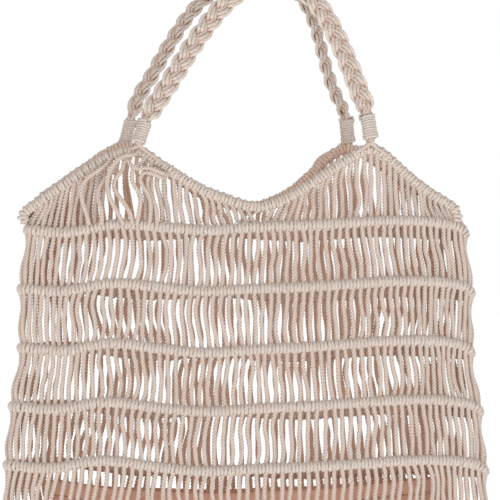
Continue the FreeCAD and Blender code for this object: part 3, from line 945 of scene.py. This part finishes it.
SLACK_BACK_CORDS = [
    [(86, 25, -121), (83.5, 27, -124), (75, 27, -128.5), (64, 26.5, -134), (58.8, 25.5, -141),
     (57, 23, -149)],
    [(85, 24, -122), (80, 28.5, -127.5), (70, 28.5, -133), (62, 27.5, -140.5), (53, 25.5, -149),
     (47, 22, -158)],
    [(83, 23.5, -121.5), (77, 24, -127.5), (67.5, 23.5, -137), (61, 23, -146), (55, 21, -155)],
    [(-98, 24, -122), (-106, 26.5, -128), (-116, 25.5, -133.5), (-126, 23.5, -140.5),
     (-133, 20.5, -149)],
]


class NETBAG_OT_fan_cords(bpy.types.Operator):
    """Make the cords that fan out from each rim down to the first row"""
    bl_idname = "netbag.fan_cords"
    bl_label = "Fan Cords"

    def execute(self, context):
        sizes = context.scene.net_bag_sizes
        first = ALL_ROWS[0]
        share = cord_shares()
        for side, name in SIDES:
            rng = np.random.default_rng(600 + side)
            rim = rim_line(side, RIM_STEP)
            shift = -side * PEAK_SHIFT
            ends = cord_end(first, share, side, INTO_ROW)
            peak = shift + np.copysign(PEAK_HALF_SPACING, ends[:, 0] - shift)
            rim_x = peak + (ends[:, 0] - peak) * FAN_GATHER
            rim = rim[np.argsort(rim[:, 0])]
            along, outward = first.along(share, side), first.outward(share, side)
            starts = (np.stack([rim_x, np.interp(rim_x, rim[:, 0], rim[:, 1]),
                                np.interp(rim_x, rim[:, 0], rim[:, 2])], -1)
                      + RIM_SEAT[0] * outward + (0, 0, RIM_SEAT[1]))
            kept = (starts - ends)[:, 2] > SHORTEST_FAN_CORD
            if side == FRONT:
                kept &= (rim_x < SLACK_SPAN[0]) | (rim_x > SLACK_SPAN[1])
            lengths = np.linalg.norm(ends - starts, axis=1)
            parts = []
            for low, high in zip(FAN_LENGTHS, FAN_LENGTHS[1:]):
                chosen = kept & (lengths >= low) & (lengths < high)
                if chosen.sum() > 2:
                    loose = min(MOST_LOOSENESS, high / FULL_LOOSENESS_LENGTH)
                    parts.append(upright_cords(starts[chosen], ends[chosen], along[chosen],
                                               outward[chosen], sizes, rng, looseness=loose))
            for route in SLACK_FRONT_CORDS if side == FRONT else SLACK_BACK_CORDS:
                line = route_line(route, CORD_STEP)
                away = np.broadcast_to((0.0, float(side), 0.0), line.shape)
                parts.append(net_cord(line[None], sizes, rng, outward=away[None]))
            make_piece(name + "_fan", parts, cotton("Twisted cotton cord"), "net",
                       [name + "_fan_cords"])
        return {"FINISHED"}


# ---------------------------------------------------------------- handles

def wrap_foot(side, leg):
    """Middle of a wrap's foot, on the line that the wraps of one handle turn about."""
    return np.array([leg * PEAK_HALF_SPACING - side * PEAK_SHIFT,
                     side * ALL_ROWS[0].lens.half_depth, WRAP_FOOT_LEVEL])


def wrap_direction(side, leg):
    """A wrap leans towards the other leg and towards the other handle."""
    lean = math.tan(math.radians(WRAPS[side, leg][0]))
    return unit(np.array([-leg * lean, -side * WRAP_LEAN_Y, 1.0]))


def wrap_frame(side, leg):
    """A wrap's foot, the direction along it and two directions across it."""
    foot, along = wrap_foot(side, leg), wrap_direction(side, leg)
    across = unit(np.cross(along, (0.0, 1.0, 0.0)))
    return foot, along, across, np.cross(along, across)


def wrap_top(side, leg):
    """Where the braid comes out of a wrap."""
    return wrap_foot(side, leg) + wrap_direction(side, leg) * WRAPS[side, leg][2]


def braid_points(side):
    """The points that pull one braid into shape, from wrap top to wrap top."""
    left, right = wrap_top(side, -1), wrap_top(side, 1)
    points = [left + wrap_direction(side, -1) * far for far in BRAID_ROOT]
    for x, z in FRONT_BRAID_ROUTE if side == FRONT else BACK_BRAID_ROUTE:
        rise = (z - left[2]) / (BRAID_APEX_LEVEL - left[2])
        depth = abs(left[1]) + (BRAID_APEX_OFFSET - abs(left[1])) * rise
        points.append(np.array([x, side * depth, z]))
    return points + [right + wrap_direction(side, 1) * far for far in reversed(BRAID_ROOT)]


# Where the nine cords lie in the round bundle inside a wrap
BUNDLE_RADIUS = 2.9
BUNDLE = [(0.0, 0.0)] + [(BUNDLE_RADIUS * math.cos(n * math.pi / 4),
                          BUNDLE_RADIUS * math.sin(n * math.pi / 4)) for n in range(8)]
STRAND_SWING = 4.1            # of a strand to either side of the braid's middle
STRAND_RISE = 2.5             # of a strand in front of and behind the braid's middle
STRAND_CORD_SPACING = 2.6
STRAND_CROWN = (-0.5, 1.0, -0.5)       # how far each cord of a strand stands out of it
BRAID_TIGHTNESS = {FRONT: 1.0, BACK: 0.86}
BRAID_OPENS_OVER = 9.0        # from the wrap to the full width of the braid
FRONT_BRAID_TURN = [(0, 12), (0.3, -6), (0.6, 8), (1, -14)]
BACK_BRAID_TURN = [(0, 40), (0.25, 44), (0.5, 48), (0.75, 46), (1, 40)]
BRAID_STEP = 0.75             # along a braid, from one ring of its cords' meshes to the next
# Painted shade deep inside a braid, where its strands press together:
DEEP_REACH = (8.6, 4.6)       # half of the braid's width and thickness that the grooves reach
DEEP_FROM = 0.92              # share of that reach where the cotton starts to darken
DEEP_OVER = 0.6
DEEPEST = 0.8


def braided_cords(line, turn, scale, sizes):
    """Nine cord paths, three strands of three, braided along a line, and the line's frame."""
    way = travelled(line)
    along = unit(np.gradient(line, axis=0))
    face = square_to(along, np.broadcast_to((0.0, -1.0, 0.0), line.shape))
    across = np.cross(along, face)
    angle = np.radians(smooth_line(way / way[-1], turn))[:, None]
    wide = np.cos(angle) * across + np.sin(angle) * face
    thick = np.cos(angle) * face - np.sin(angle) * across
    open_share = ease(np.minimum(way, way[-1] - way) / BRAID_OPENS_OVER)
    paths = []
    for strand in range(3):
        phase = 2 * math.pi * (way / millimetres(sizes.braid_pitch) + strand / 3)
        swing = STRAND_SWING * np.sin(phase)
        slope = np.gradient(swing, way)
        lean = 1 / np.sqrt(1 + slope ** 2)
        for cord in range(3):
            place = (cord - 1) * STRAND_CORD_SPACING
            bundle_u, bundle_v = BUNDLE[strand * 3 + cord]
            u = open_share * scale * (swing + place * lean) + (1 - open_share) * bundle_u
            rise = (STRAND_RISE + STRAND_CROWN[cord]) * np.sin(2 * phase)
            v = open_share * scale * rise + (1 - open_share) * bundle_v
            forward = -open_share * place * slope * lean
            paths.append(line + wide * u[:, None] + thick * v[:, None]
                         + along * forward[:, None])
    return np.array(paths), wide, thick


def deep_in_braid(vertices, line, wide, thick, scale):
    """How far inside the braid each point lies, for painted shade: 0 on its faces, most where the
    strands press together.
    """
    away = vertices.reshape(9, len(line), -1, 3) - line[:, None]
    across = (away * wide[:, None]).sum(-1) / (DEEP_REACH[0] * scale)
    through = (away * thick[:, None]).sum(-1) / (DEEP_REACH[1] * scale)
    depth = (DEEP_FROM - np.hypot(across, through)) / DEEP_OVER
    return np.clip(depth, 0, DEEPEST).ravel()


class NETBAG_OT_braids(bpy.types.Operator):
    """Make the two braided handles, three strands of three cords each"""
    bl_idname = "netbag.braids"
    bl_label = "Braided Handles"

    def execute(self, context):
        sizes = context.scene.net_bag_sizes
        for side, name in SIDES:
            rng = np.random.default_rng(700 + side)
            line = route_line(braid_points(side), BRAID_STEP)
            turn = FRONT_BRAID_TURN if side == FRONT else BACK_BRAID_TURN
            scale = BRAID_TIGHTNESS[side]
            paths, wide, thick = braided_cords(line, turn, scale, sizes)
            cords = twisted_cords(paths, scale * millimetres(sizes.braid_cord),
                                  millimetres(sizes.cord_lay), rng, ply=STRAND_PLY)
            # The deeper inside the braid, the more painted shade its cords get.
            cords["crevice"] = np.maximum(cords["crevice"], deep_in_braid(
                cords["vertices"], line, wide, thick, scale))
            made = make_piece(name + "_handle_braid", [cords], cotton("Braided cotton cord"),
                              None, [name + "_braid"])
            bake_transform(made)
        return {"FINISHED"}


WHIPPING_PITCH = 0.8          # from turn to turn, as a share of the cord's diameter
WHIPPING_POINTS = 42          # in one turn
WHIPPING_STRAY = 0.12
WHIPPING_STRAY_TURN = 2.3     # radians of that wave in one turn
FIRST_TURN_STANDS_OUT = 0.5   # and fades over the next turns
STANDS_OUT_OVER = 2.5
LAST_TURN_SWELL = 0.12
KNOT_POINTS = 14
KNOT_LENGTH = 6.0             # of the tail that is tucked down over the top turns
KNOT_SWING = 0.5              # radians round the wrap
KNOT_START = 0.2              # below the top of the wrap
KNOT_SINK = 1.0               # of its ends into the turns; its middle stands out as far


class NETBAG_OT_wraps(bpy.types.Operator):
    """Make the four whipped wraps at the feet of the handles"""
    bl_idname = "netbag.wraps"
    bl_label = "Whipped Wraps"

    def execute(self, context):
        sizes = context.scene.net_bag_sizes
        cord = millimetres(sizes.wrap_cord)
        for side, name in SIDES:
            for leg, place in LEGS:
                rng = np.random.default_rng(800 + 2 * side + leg)
                foot, along, across, other = wrap_frame(side, leg)
                _, bottom, top, wrap_radius = WRAPS[side, leg]
                turns = (top - bottom - cord) / (cord * WHIPPING_PITCH)
                t = np.arange(0, turns, 1 / WHIPPING_POINTS)
                height = bottom + cord / 2 + (top - bottom - cord) * t / turns
                radius = (wrap_radius - cord / 2
                          + WHIPPING_STRAY * np.sin(WHIPPING_STRAY_TURN * t)
                          + FIRST_TURN_STANDS_OUT * ease(1 - t / STANDS_OUT_OVER))
                swell = 1 + LAST_TURN_SWELL * np.clip((t - turns + 1.2) / 0.4, 0, 1)
                path = (foot + along * height[:, None]
                        + across * (radius * np.cos(2 * math.pi * t))[:, None]
                        + other * (radius * np.sin(2 * math.pi * t))[:, None])
                coil = twisted_cords(path[None], cord, millimetres(sizes.cord_lay), rng,
                                     sideways=tuple(along), ply=WRAP_PLY, swell=swell[None])
                # The end of the whipping is tucked down over its top turns as a small knot.
                tuck = np.linspace(0, 1, KNOT_POINTS)[:, None]
                lift = wrap_radius - KNOT_SINK + KNOT_SINK * np.sin(math.pi * tuck)
                swing = math.pi / 2 * (1 + side) + KNOT_SWING * (tuck - 0.5)
                knot = (foot + along * (top - KNOT_START - KNOT_LENGTH * tuck)
                        + across * lift * np.cos(swing) + other * lift * np.sin(swing))
                tucked = twisted_cords(knot[None], cord, millimetres(sizes.cord_lay), rng)
                make_piece("%s_%s_whipping" % (name, place), [coil, tucked],
                           cotton("Knotted cotton cord"), name + "_wraps",
                           ["%s_%s_wrap" % (name, place)])
        return {"FINISHED"}


NECK_CORDS = 8
NECK_SPREAD = 17.0            # of their feet on the rim, to either side of the wrap
NECK_POINTS = 30
NECK_CORD = 1.2               # its diameter, as a share of the whipping's
NECK_SEATS = (-1.5, 2.6)      # outward of the rim's middle line, where every other cord starts
NECK_SEAT_RISE = 1.5
NECK_BELLY = (0.9, -0.6)      # of a cord's middle: outward, and up
NECK_RADII = (4.4, 2.4)       # of the ring of cords where it enters the wrap and inside it
NECK_ENTRY = 0.4              # above the bottom of the wrap
NECK_INSIDE = 2.0             # above the wrap's foot
NECK_END = 1.0                # below the top of the wrap
NECK_BENDS = (-7.0, 1.5)      # along the wrap from its foot: two places that the necks work out but do not use


class NETBAG_OT_necks(bpy.types.Operator):
    """Make the cords that gather from each peak of the rim into the wrap above it"""
    bl_idname = "netbag.necks"
    bl_label = "Neck Cords"

    def execute(self, context):
        sizes = context.scene.net_bag_sizes
        for side, name in SIDES:
            rim = rim_line(side, RIM_STEP)
            for leg, place in LEGS:
                rng = np.random.default_rng(900 + 2 * side + leg)
                foot, along, across, other = wrap_frame(side, leg)
                _, bottom, top, _ = WRAPS[side, leg]
                paths = []
                for number, away in enumerate(np.linspace(-NECK_SPREAD, NECK_SPREAD,
                                                          NECK_CORDS)):
                    odd = number % 2
                    nearest = rim[np.argmin(np.abs(rim[:, 0] - foot[0] - away))]
                    turn = math.pi * (number + 0.5) / NECK_CORDS * (1 if odd else -1)
                    into, inner = (foot + along * height - across * radius * math.cos(turn)
                                   + other * radius * math.sin(turn)
                                   for height, radius in zip(
                                       (bottom + NECK_ENTRY, NECK_INSIDE), NECK_RADII))
                    bundle = BUNDLE[number + 1]
                    end = (foot + along * (top - NECK_END) + across * bundle[0]
                           + other * bundle[1])
                    begin = nearest + (0, side * NECK_SEATS[odd], NECK_SEAT_RISE)
                    middle = (begin + into) / 2 + (0, side * NECK_BELLY[0], NECK_BELLY[1])
                    line = route_line([begin, middle, into, inner, end], 1.0)
                    t = np.linspace(0, 1, NECK_POINTS)
                    old = np.linspace(0, 1, len(line))
                    paths.append(np.stack([np.interp(t, old, line[:, axis])
                                           for axis in range(3)], -1))
                cords = twisted_cords(np.array(paths), NECK_CORD * millimetres(sizes.wrap_cord),
                                      millimetres(sizes.cord_lay), rng)
                made = make_piece("%s_%s_neck" % (name, place), [cords],
                                  cotton("Twisted cotton cord"), None,
                                  ["%s_%s_wrap_core" % (name, place)])
                start, end = (tuple(in_frame(foot + along * far)) for far in NECK_BENDS)
                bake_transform(made)
        return {"FINISHED"}


# ---------------------------------------------------------------- leather pouch

PANEL_COLUMNS = 220
PANEL_ROWS = 40
HEM_ROWS = 8
HEM_COLUMNS = 220             # round each side
BASE_COLUMNS = 160
BASE_ROWS = 12
LEATHER_WAVE = 0.55           # how far the leather stands off its plan
LEATHER_WAVE_REACH = 23.0     # across the pouch, in one radian of that wave
LEATHER_WAVE_TURN = 3.0       # radians by which it has moved on at the top
LEATHER_WAVE_ARCH = 0.8       # of the half wave that its height follows from bottom to top
LEATHER_HELD = 12.0           # the higher, the nearer to the side seams it keeps its full height
LEATHER_SET_BACK = 0.4
EDGE_WAVE = 0.7               # of the top edge, up and down
EDGE_CURL = 1.4               # how far its left corner has curled up
EDGE_CURL_PLACE = -148.0
EDGE_CURL_REACH = 9.0
HEM_OVERHANG = 0.25           # of the hem over the panels' top edge
SIDE_SEAM_SHARE = 0.999       # of the half outline that the panels take up


def mouth_level(x):
    """Height of the pouch's top edge, which dips towards its middle."""
    radius = (POUCH_HALF_WIDTH ** 2 + POUCH_TOP_SAG ** 2) / (2 * POUCH_TOP_SAG)
    wave = EDGE_WAVE * np.sin(x / 19) * np.cos(x / 47)
    curl = EDGE_CURL * np.exp(-((x - EDGE_CURL_PLACE) / EDGE_CURL_REACH) ** 2)
    return POUCH_TOP_LEVEL - POUCH_TOP_SAG + radius - np.sqrt(radius ** 2 - x ** 2) + wave + curl


def leather_slack(x, shares, height):
    """How far the leather stands off its plan, at a share of the way up."""
    slack = (LEATHER_WAVE * np.sin(x / LEATHER_WAVE_REACH + LEATHER_WAVE_TURN * height)
             * np.sin(math.pi * height * LEATHER_WAVE_ARCH))
    return slack * np.minimum(1, (1 - np.abs(shares)) * LEATHER_HELD)


def pouch_grid(lens, shares, side, bottom, top_drop, rows, low=None):
    """Points of one side of the pouch, from its bottom to its top edge."""
    x, depth, _, _ = lens.place(shares)
    top = mouth_level(x) - top_drop
    base = np.full_like(x, bottom) if low is None else mouth_level(x) - low
    t = np.linspace(0, 1, rows)[:, None]
    z = base + (top - base) * t
    y = side * (np.maximum(depth, SEWN_GAP * 1.5) + leather_slack(x, shares, t)
                - LEATHER_SET_BACK)
    return np.stack([np.broadcast_to(x, z.shape), y, z], -1)


class NETBAG_OT_pouch(bpy.types.Operator):
    """Make the leather pouch: two panels, a base and the hem round its top"""
    bl_idname = "netbag.pouch"
    bl_label = "Leather Pouch"

    def execute(self, context):
        hide = leather("Vegetable-tanned leather")
        bottom = float(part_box("pouch_front_panel")[0][2]) / MM
        inset = HEM_THICKNESS + SEWN_GAP
        outside = Lens(POUCH_HALF_WIDTH - inset, POUCH_HALF_DEPTH - inset,
                       POUCH_END_RADIUS - inset / 2)
        inside = Lens(outside.half_width - LEATHER, outside.half_depth - LEATHER,
                      POUCH_END_RADIUS / 3)
        hem_outside = Lens(POUCH_HALF_WIDTH, POUCH_HALF_DEPTH, POUCH_END_RADIUS)
        hem_inside = Lens(POUCH_HALF_WIDTH - HEM_THICKNESS, POUCH_HALF_DEPTH - HEM_THICKNESS,
                          POUCH_END_RADIUS - HEM_THICKNESS / 2)
        shares = np.linspace(-SIDE_SEAM_SHARE, SIDE_SEAM_SHARE, PANEL_COLUMNS)
        for side, name in SIDES:
            faces = [pouch_grid(lens, -side * shares, side, bottom, 0.0, PANEL_ROWS)
                     for lens in (outside, inside)]
            make_piece("pouch_%s_leather" % name, [sheet_between(*faces)], hide,
                                      "pouch", ["pouch_%s_panel" % name])
        ring = np.linspace(-1, 1, HEM_COLUMNS + 1)[:-1]
        faces = [np.concatenate([pouch_grid(lens, -side * ring, side, 0, -HEM_OVERHANG,
                                            HEM_ROWS, low=HEM_HEIGHT)
                                 for side in (FRONT, BACK)], 1)
                 for lens in (hem_outside, hem_inside)]
        make_piece("pouch_hem_band", [sheet_between(*faces, wrapped=True)], hide,
                   "pouch", ["pouch_hem"])

        x, depth, _, _ = inside.place(np.linspace(-0.998, 0.998, BASE_COLUMNS))
        t = np.linspace(-1, 1, BASE_ROWS)[:, None]
        floor = np.stack([np.broadcast_to(x, (BASE_ROWS, BASE_COLUMNS)),
                          t * (depth - SEWN_GAP - 0.5),
                          bottom + 0.6 + 0.5 * np.cos(x / 40) + 0 * t], -1)
        make_piece("pouch_bottom_leather", [sheet_between(floor + (0, 0, LEATHER), floor)],
                   hide, "pouch", ["pouch_base"])
        return {"FINISHED"}


STITCH = 3.1
STITCH_PITCH = 4.1
STITCH_POINTS = 6
STITCH_RISE = 0.32            # of the middle of a stitch above its ends, which sink in
STITCH_SINK = 0.12
STITCH_HEIGHT = 1.9           # above the lower edge of the hem
STITCH_SHARE = 0.88           # of the pouch's height, where the stitches run
THREAD = 0.8
THREAD_LAY = 2.0


class NETBAG_OT_pouch_stitches(bpy.types.Operator):
    """Make the line of stitches along the lower edge of the pouch's hem"""
    bl_idname = "netbag.pouch_stitches"
    bl_label = "Hem Stitches"

    def execute(self, context):
        lens = Lens(POUCH_HALF_WIDTH, POUCH_HALF_DEPTH, POUCH_END_RADIUS)
        rng = np.random.default_rng(1000)
        count = int(2 * lens.half_length / STITCH_PITCH)
        middles = (np.arange(count) + 0.5) / count * 2 - 1
        half = STITCH / 2 / lens.half_length
        t = np.linspace(-1, 1, STITCH_POINTS)
        shares = middles[:, None] + half * t
        x, depth, nx, ny = lens.place(shares)
        off_plan = leather_slack(x, shares, STITCH_SHARE) - LEATHER_SET_BACK
        lift = STITCH_RISE * (1 - t ** 4) - STITCH_SINK
        parts = []
        for side in (FRONT, BACK):
            paths = np.stack([x + nx * lift, side * (depth + off_plan + ny * lift),
                              mouth_level(x) - HEM_HEIGHT + STITCH_HEIGHT], -1)
            parts.append(twisted_cords(paths, THREAD, THREAD_LAY, rng, ply=LOOP_PLY))
        make_piece("pouch_hem_stitches", parts, cotton("Waxed cotton thread"),
                   "pouch")
        return {"FINISHED"}


# ---------------------------------------------------------------- floor, light and camera

# Lengths here are in metres, apart from VIEW_MIDDLE.
FLOOR_LEVEL = -0.95
FLOOR_SIZE = 40.0
BACKDROP_LIGHT = 0.5          # how strongly the white backdrop lights the bag
VIEW_TURN = math.radians(-9.0)
VIEW_DISTANCE = 1.6
VIEW_WIDTH = 0.4
VIEW_MIDDLE = (2.4, -209.6)   # of what the camera takes in, across and up, in millimetres
LIGHT_AIM = (0, 0, -0.25)
LIGHTS = (                    # name, place, size in metres, watts
    ("key", (-1.1, -2.2, 0.9), 1.6, 15.5),
    ("fill", (1.4, -2.2, -0.1), 1.8, 8.5),
    ("back", (0.6, 2.2, 1.2), 1.8, 7.0),
)


class NETBAG_OT_stage(bpy.types.Operator):
    """Make the pale floor, the soft studio light and the camera"""
    bl_idname = "netbag.stage"
    bl_label = "Floor, Light and Camera"

    def execute(self, context):
        scene = context.scene
        bpy.ops.object.select_all(action="DESELECT")
        bpy.ops.mesh.primitive_plane_add(size=FLOOR_SIZE, location=(0.0, 0.0, FLOOR_LEVEL))
        floor = context.active_object
        floor.name = "floor"
        paint, tree, shader = new_material("Matt white studio paint")
        # Rolled emulsion: a faint unevenness about 40 mm across, too slight to draw the eye.
        place = add_node(tree, "TexCoord").outputs["Object"]
        uneven = add_node(tree, "TexNoise", {"Vector": place, "Scale": 25.0}).outputs["Fac"]
        white = mixed(tree, uneven, (*linear("#FDFDFD"), 1), (*linear("#FFFFFF"), 1))
        tree.links.new(white, shader.inputs["Base Color"])
        for socket, value in (("Roughness", 0.95), ("Emission Color", (1.0, 1.0, 1.0, 1.0)),
                              ("Emission Strength", 0.6)):
            shader.inputs[socket].default_value = value
        floor.data.materials.append(paint)

        world = bpy.data.worlds.new("studio")
        world.use_nodes = True
        background = world.node_tree.nodes["Background"]
        background.inputs["Color"].default_value = (1.0, 1.0, 1.0, 1.0)
        # The backdrop is pure white to look at, and lights the bag less strongly than that.
        seen = add_node(world.node_tree, "LightPath").outputs["Is Camera Ray"]
        strength = remapped(world.node_tree, seen, 0.0, 1.0, BACKDROP_LIGHT, 1.0)
        world.node_tree.links.new(strength, background.inputs["Strength"])
        scene.world = world
        scene.view_settings.view_transform = "Standard"

        for name, place, size, watts in LIGHTS:
            light = bpy.data.lights.new(name, "AREA")
            light.size = size
            light.energy = watts
            holder = bpy.data.objects.new(name, light)
            holder.location = place
            towards = Vector(LIGHT_AIM) - Vector(place)
            holder.rotation_euler = towards.to_track_quat("-Z", "Y").to_euler()
            context.collection.objects.link(holder)

        camera_data = bpy.data.cameras.new("camera")
        camera_data.angle = 2 * math.atan(VIEW_WIDTH / 2 / VIEW_DISTANCE)
        camera = bpy.data.objects.new("camera", camera_data)
        across = Vector((math.cos(VIEW_TURN), math.sin(VIEW_TURN), 0))
        middle = (Vector((BAG_MIDDLE_X * MM, 0, VIEW_MIDDLE[1] * MM))
                  + across * VIEW_MIDDLE[0] * MM)
        away = Vector((math.sin(VIEW_TURN), -math.cos(VIEW_TURN), 0)) * VIEW_DISTANCE
        camera.location = middle + away
        camera.rotation_euler = (-away).to_track_quat("-Z", "Y").to_euler()
        context.collection.objects.link(camera)
        scene.camera = camera
        return {"FINISHED"}


# ---------------------------------------------------------------- add-on

PIECES = (
    NETBAG_OT_stage,
    NETBAG_OT_braids,
    NETBAG_OT_wraps,
    NETBAG_OT_necks,
    NETBAG_OT_row_knots,
    NETBAG_OT_bottom_seam,
    NETBAG_OT_band_cords,
    NETBAG_OT_base_cords,
    NETBAG_OT_rims,
    NETBAG_OT_fan_cords,
    NETBAG_OT_pouch,
    NETBAG_OT_pouch_stitches,
)


class NETBAG_PT_sidebar(bpy.types.Panel):
    """The pieces of the bag, in the order that they are made"""
    bl_idname = "NETBAG_PT_sidebar"
    bl_label = "Net Bag"
    bl_space_type = "VIEW_3D"
    bl_region_type = "UI"
    bl_category = "Net Bag"

    def draw(self, context):
        for group in (context.scene.net_bag_sizes, context.scene.net_bag_colours):
            column = self.layout.column()
            for name in type(group).__annotations__:
                column.prop(group, name)
        for piece in PIECES:
            self.layout.operator(piece.bl_idname)


CLASSES = (NetBagSizes, NetBagColours) + PIECES + (NETBAG_PT_sidebar,)


def register():
    """Make the pieces and settings known to Blender."""
    for made in CLASSES:
        bpy.utils.register_class(made)
    bpy.types.Scene.net_bag_sizes = bpy.props.PointerProperty(type=NetBagSizes)
    bpy.types.Scene.net_bag_colours = bpy.props.PointerProperty(type=NetBagColours)


def unregister():
    """Take them out of Blender again."""
    del bpy.types.Scene.net_bag_colours
    del bpy.types.Scene.net_bag_sizes
    for made in reversed(CLASSES):
        bpy.utils.unregister_class(made)


def main():
    """Make the whole bag in this file's order."""
    register()
    bpy.ops.netbag.stage()
    bpy.ops.netbag.braids()
    bpy.ops.netbag.wraps()
    bpy.ops.netbag.necks()
    bpy.ops.netbag.row_knots()
    bpy.ops.netbag.bottom_seam()
    bpy.ops.netbag.band_cords()
    bpy.ops.netbag.base_cords()
    bpy.ops.netbag.rims()
    bpy.ops.netbag.fan_cords()
    bpy.ops.netbag.pouch()
    bpy.ops.netbag.pouch_stitches()


if __name__ == "__main__":
    main()
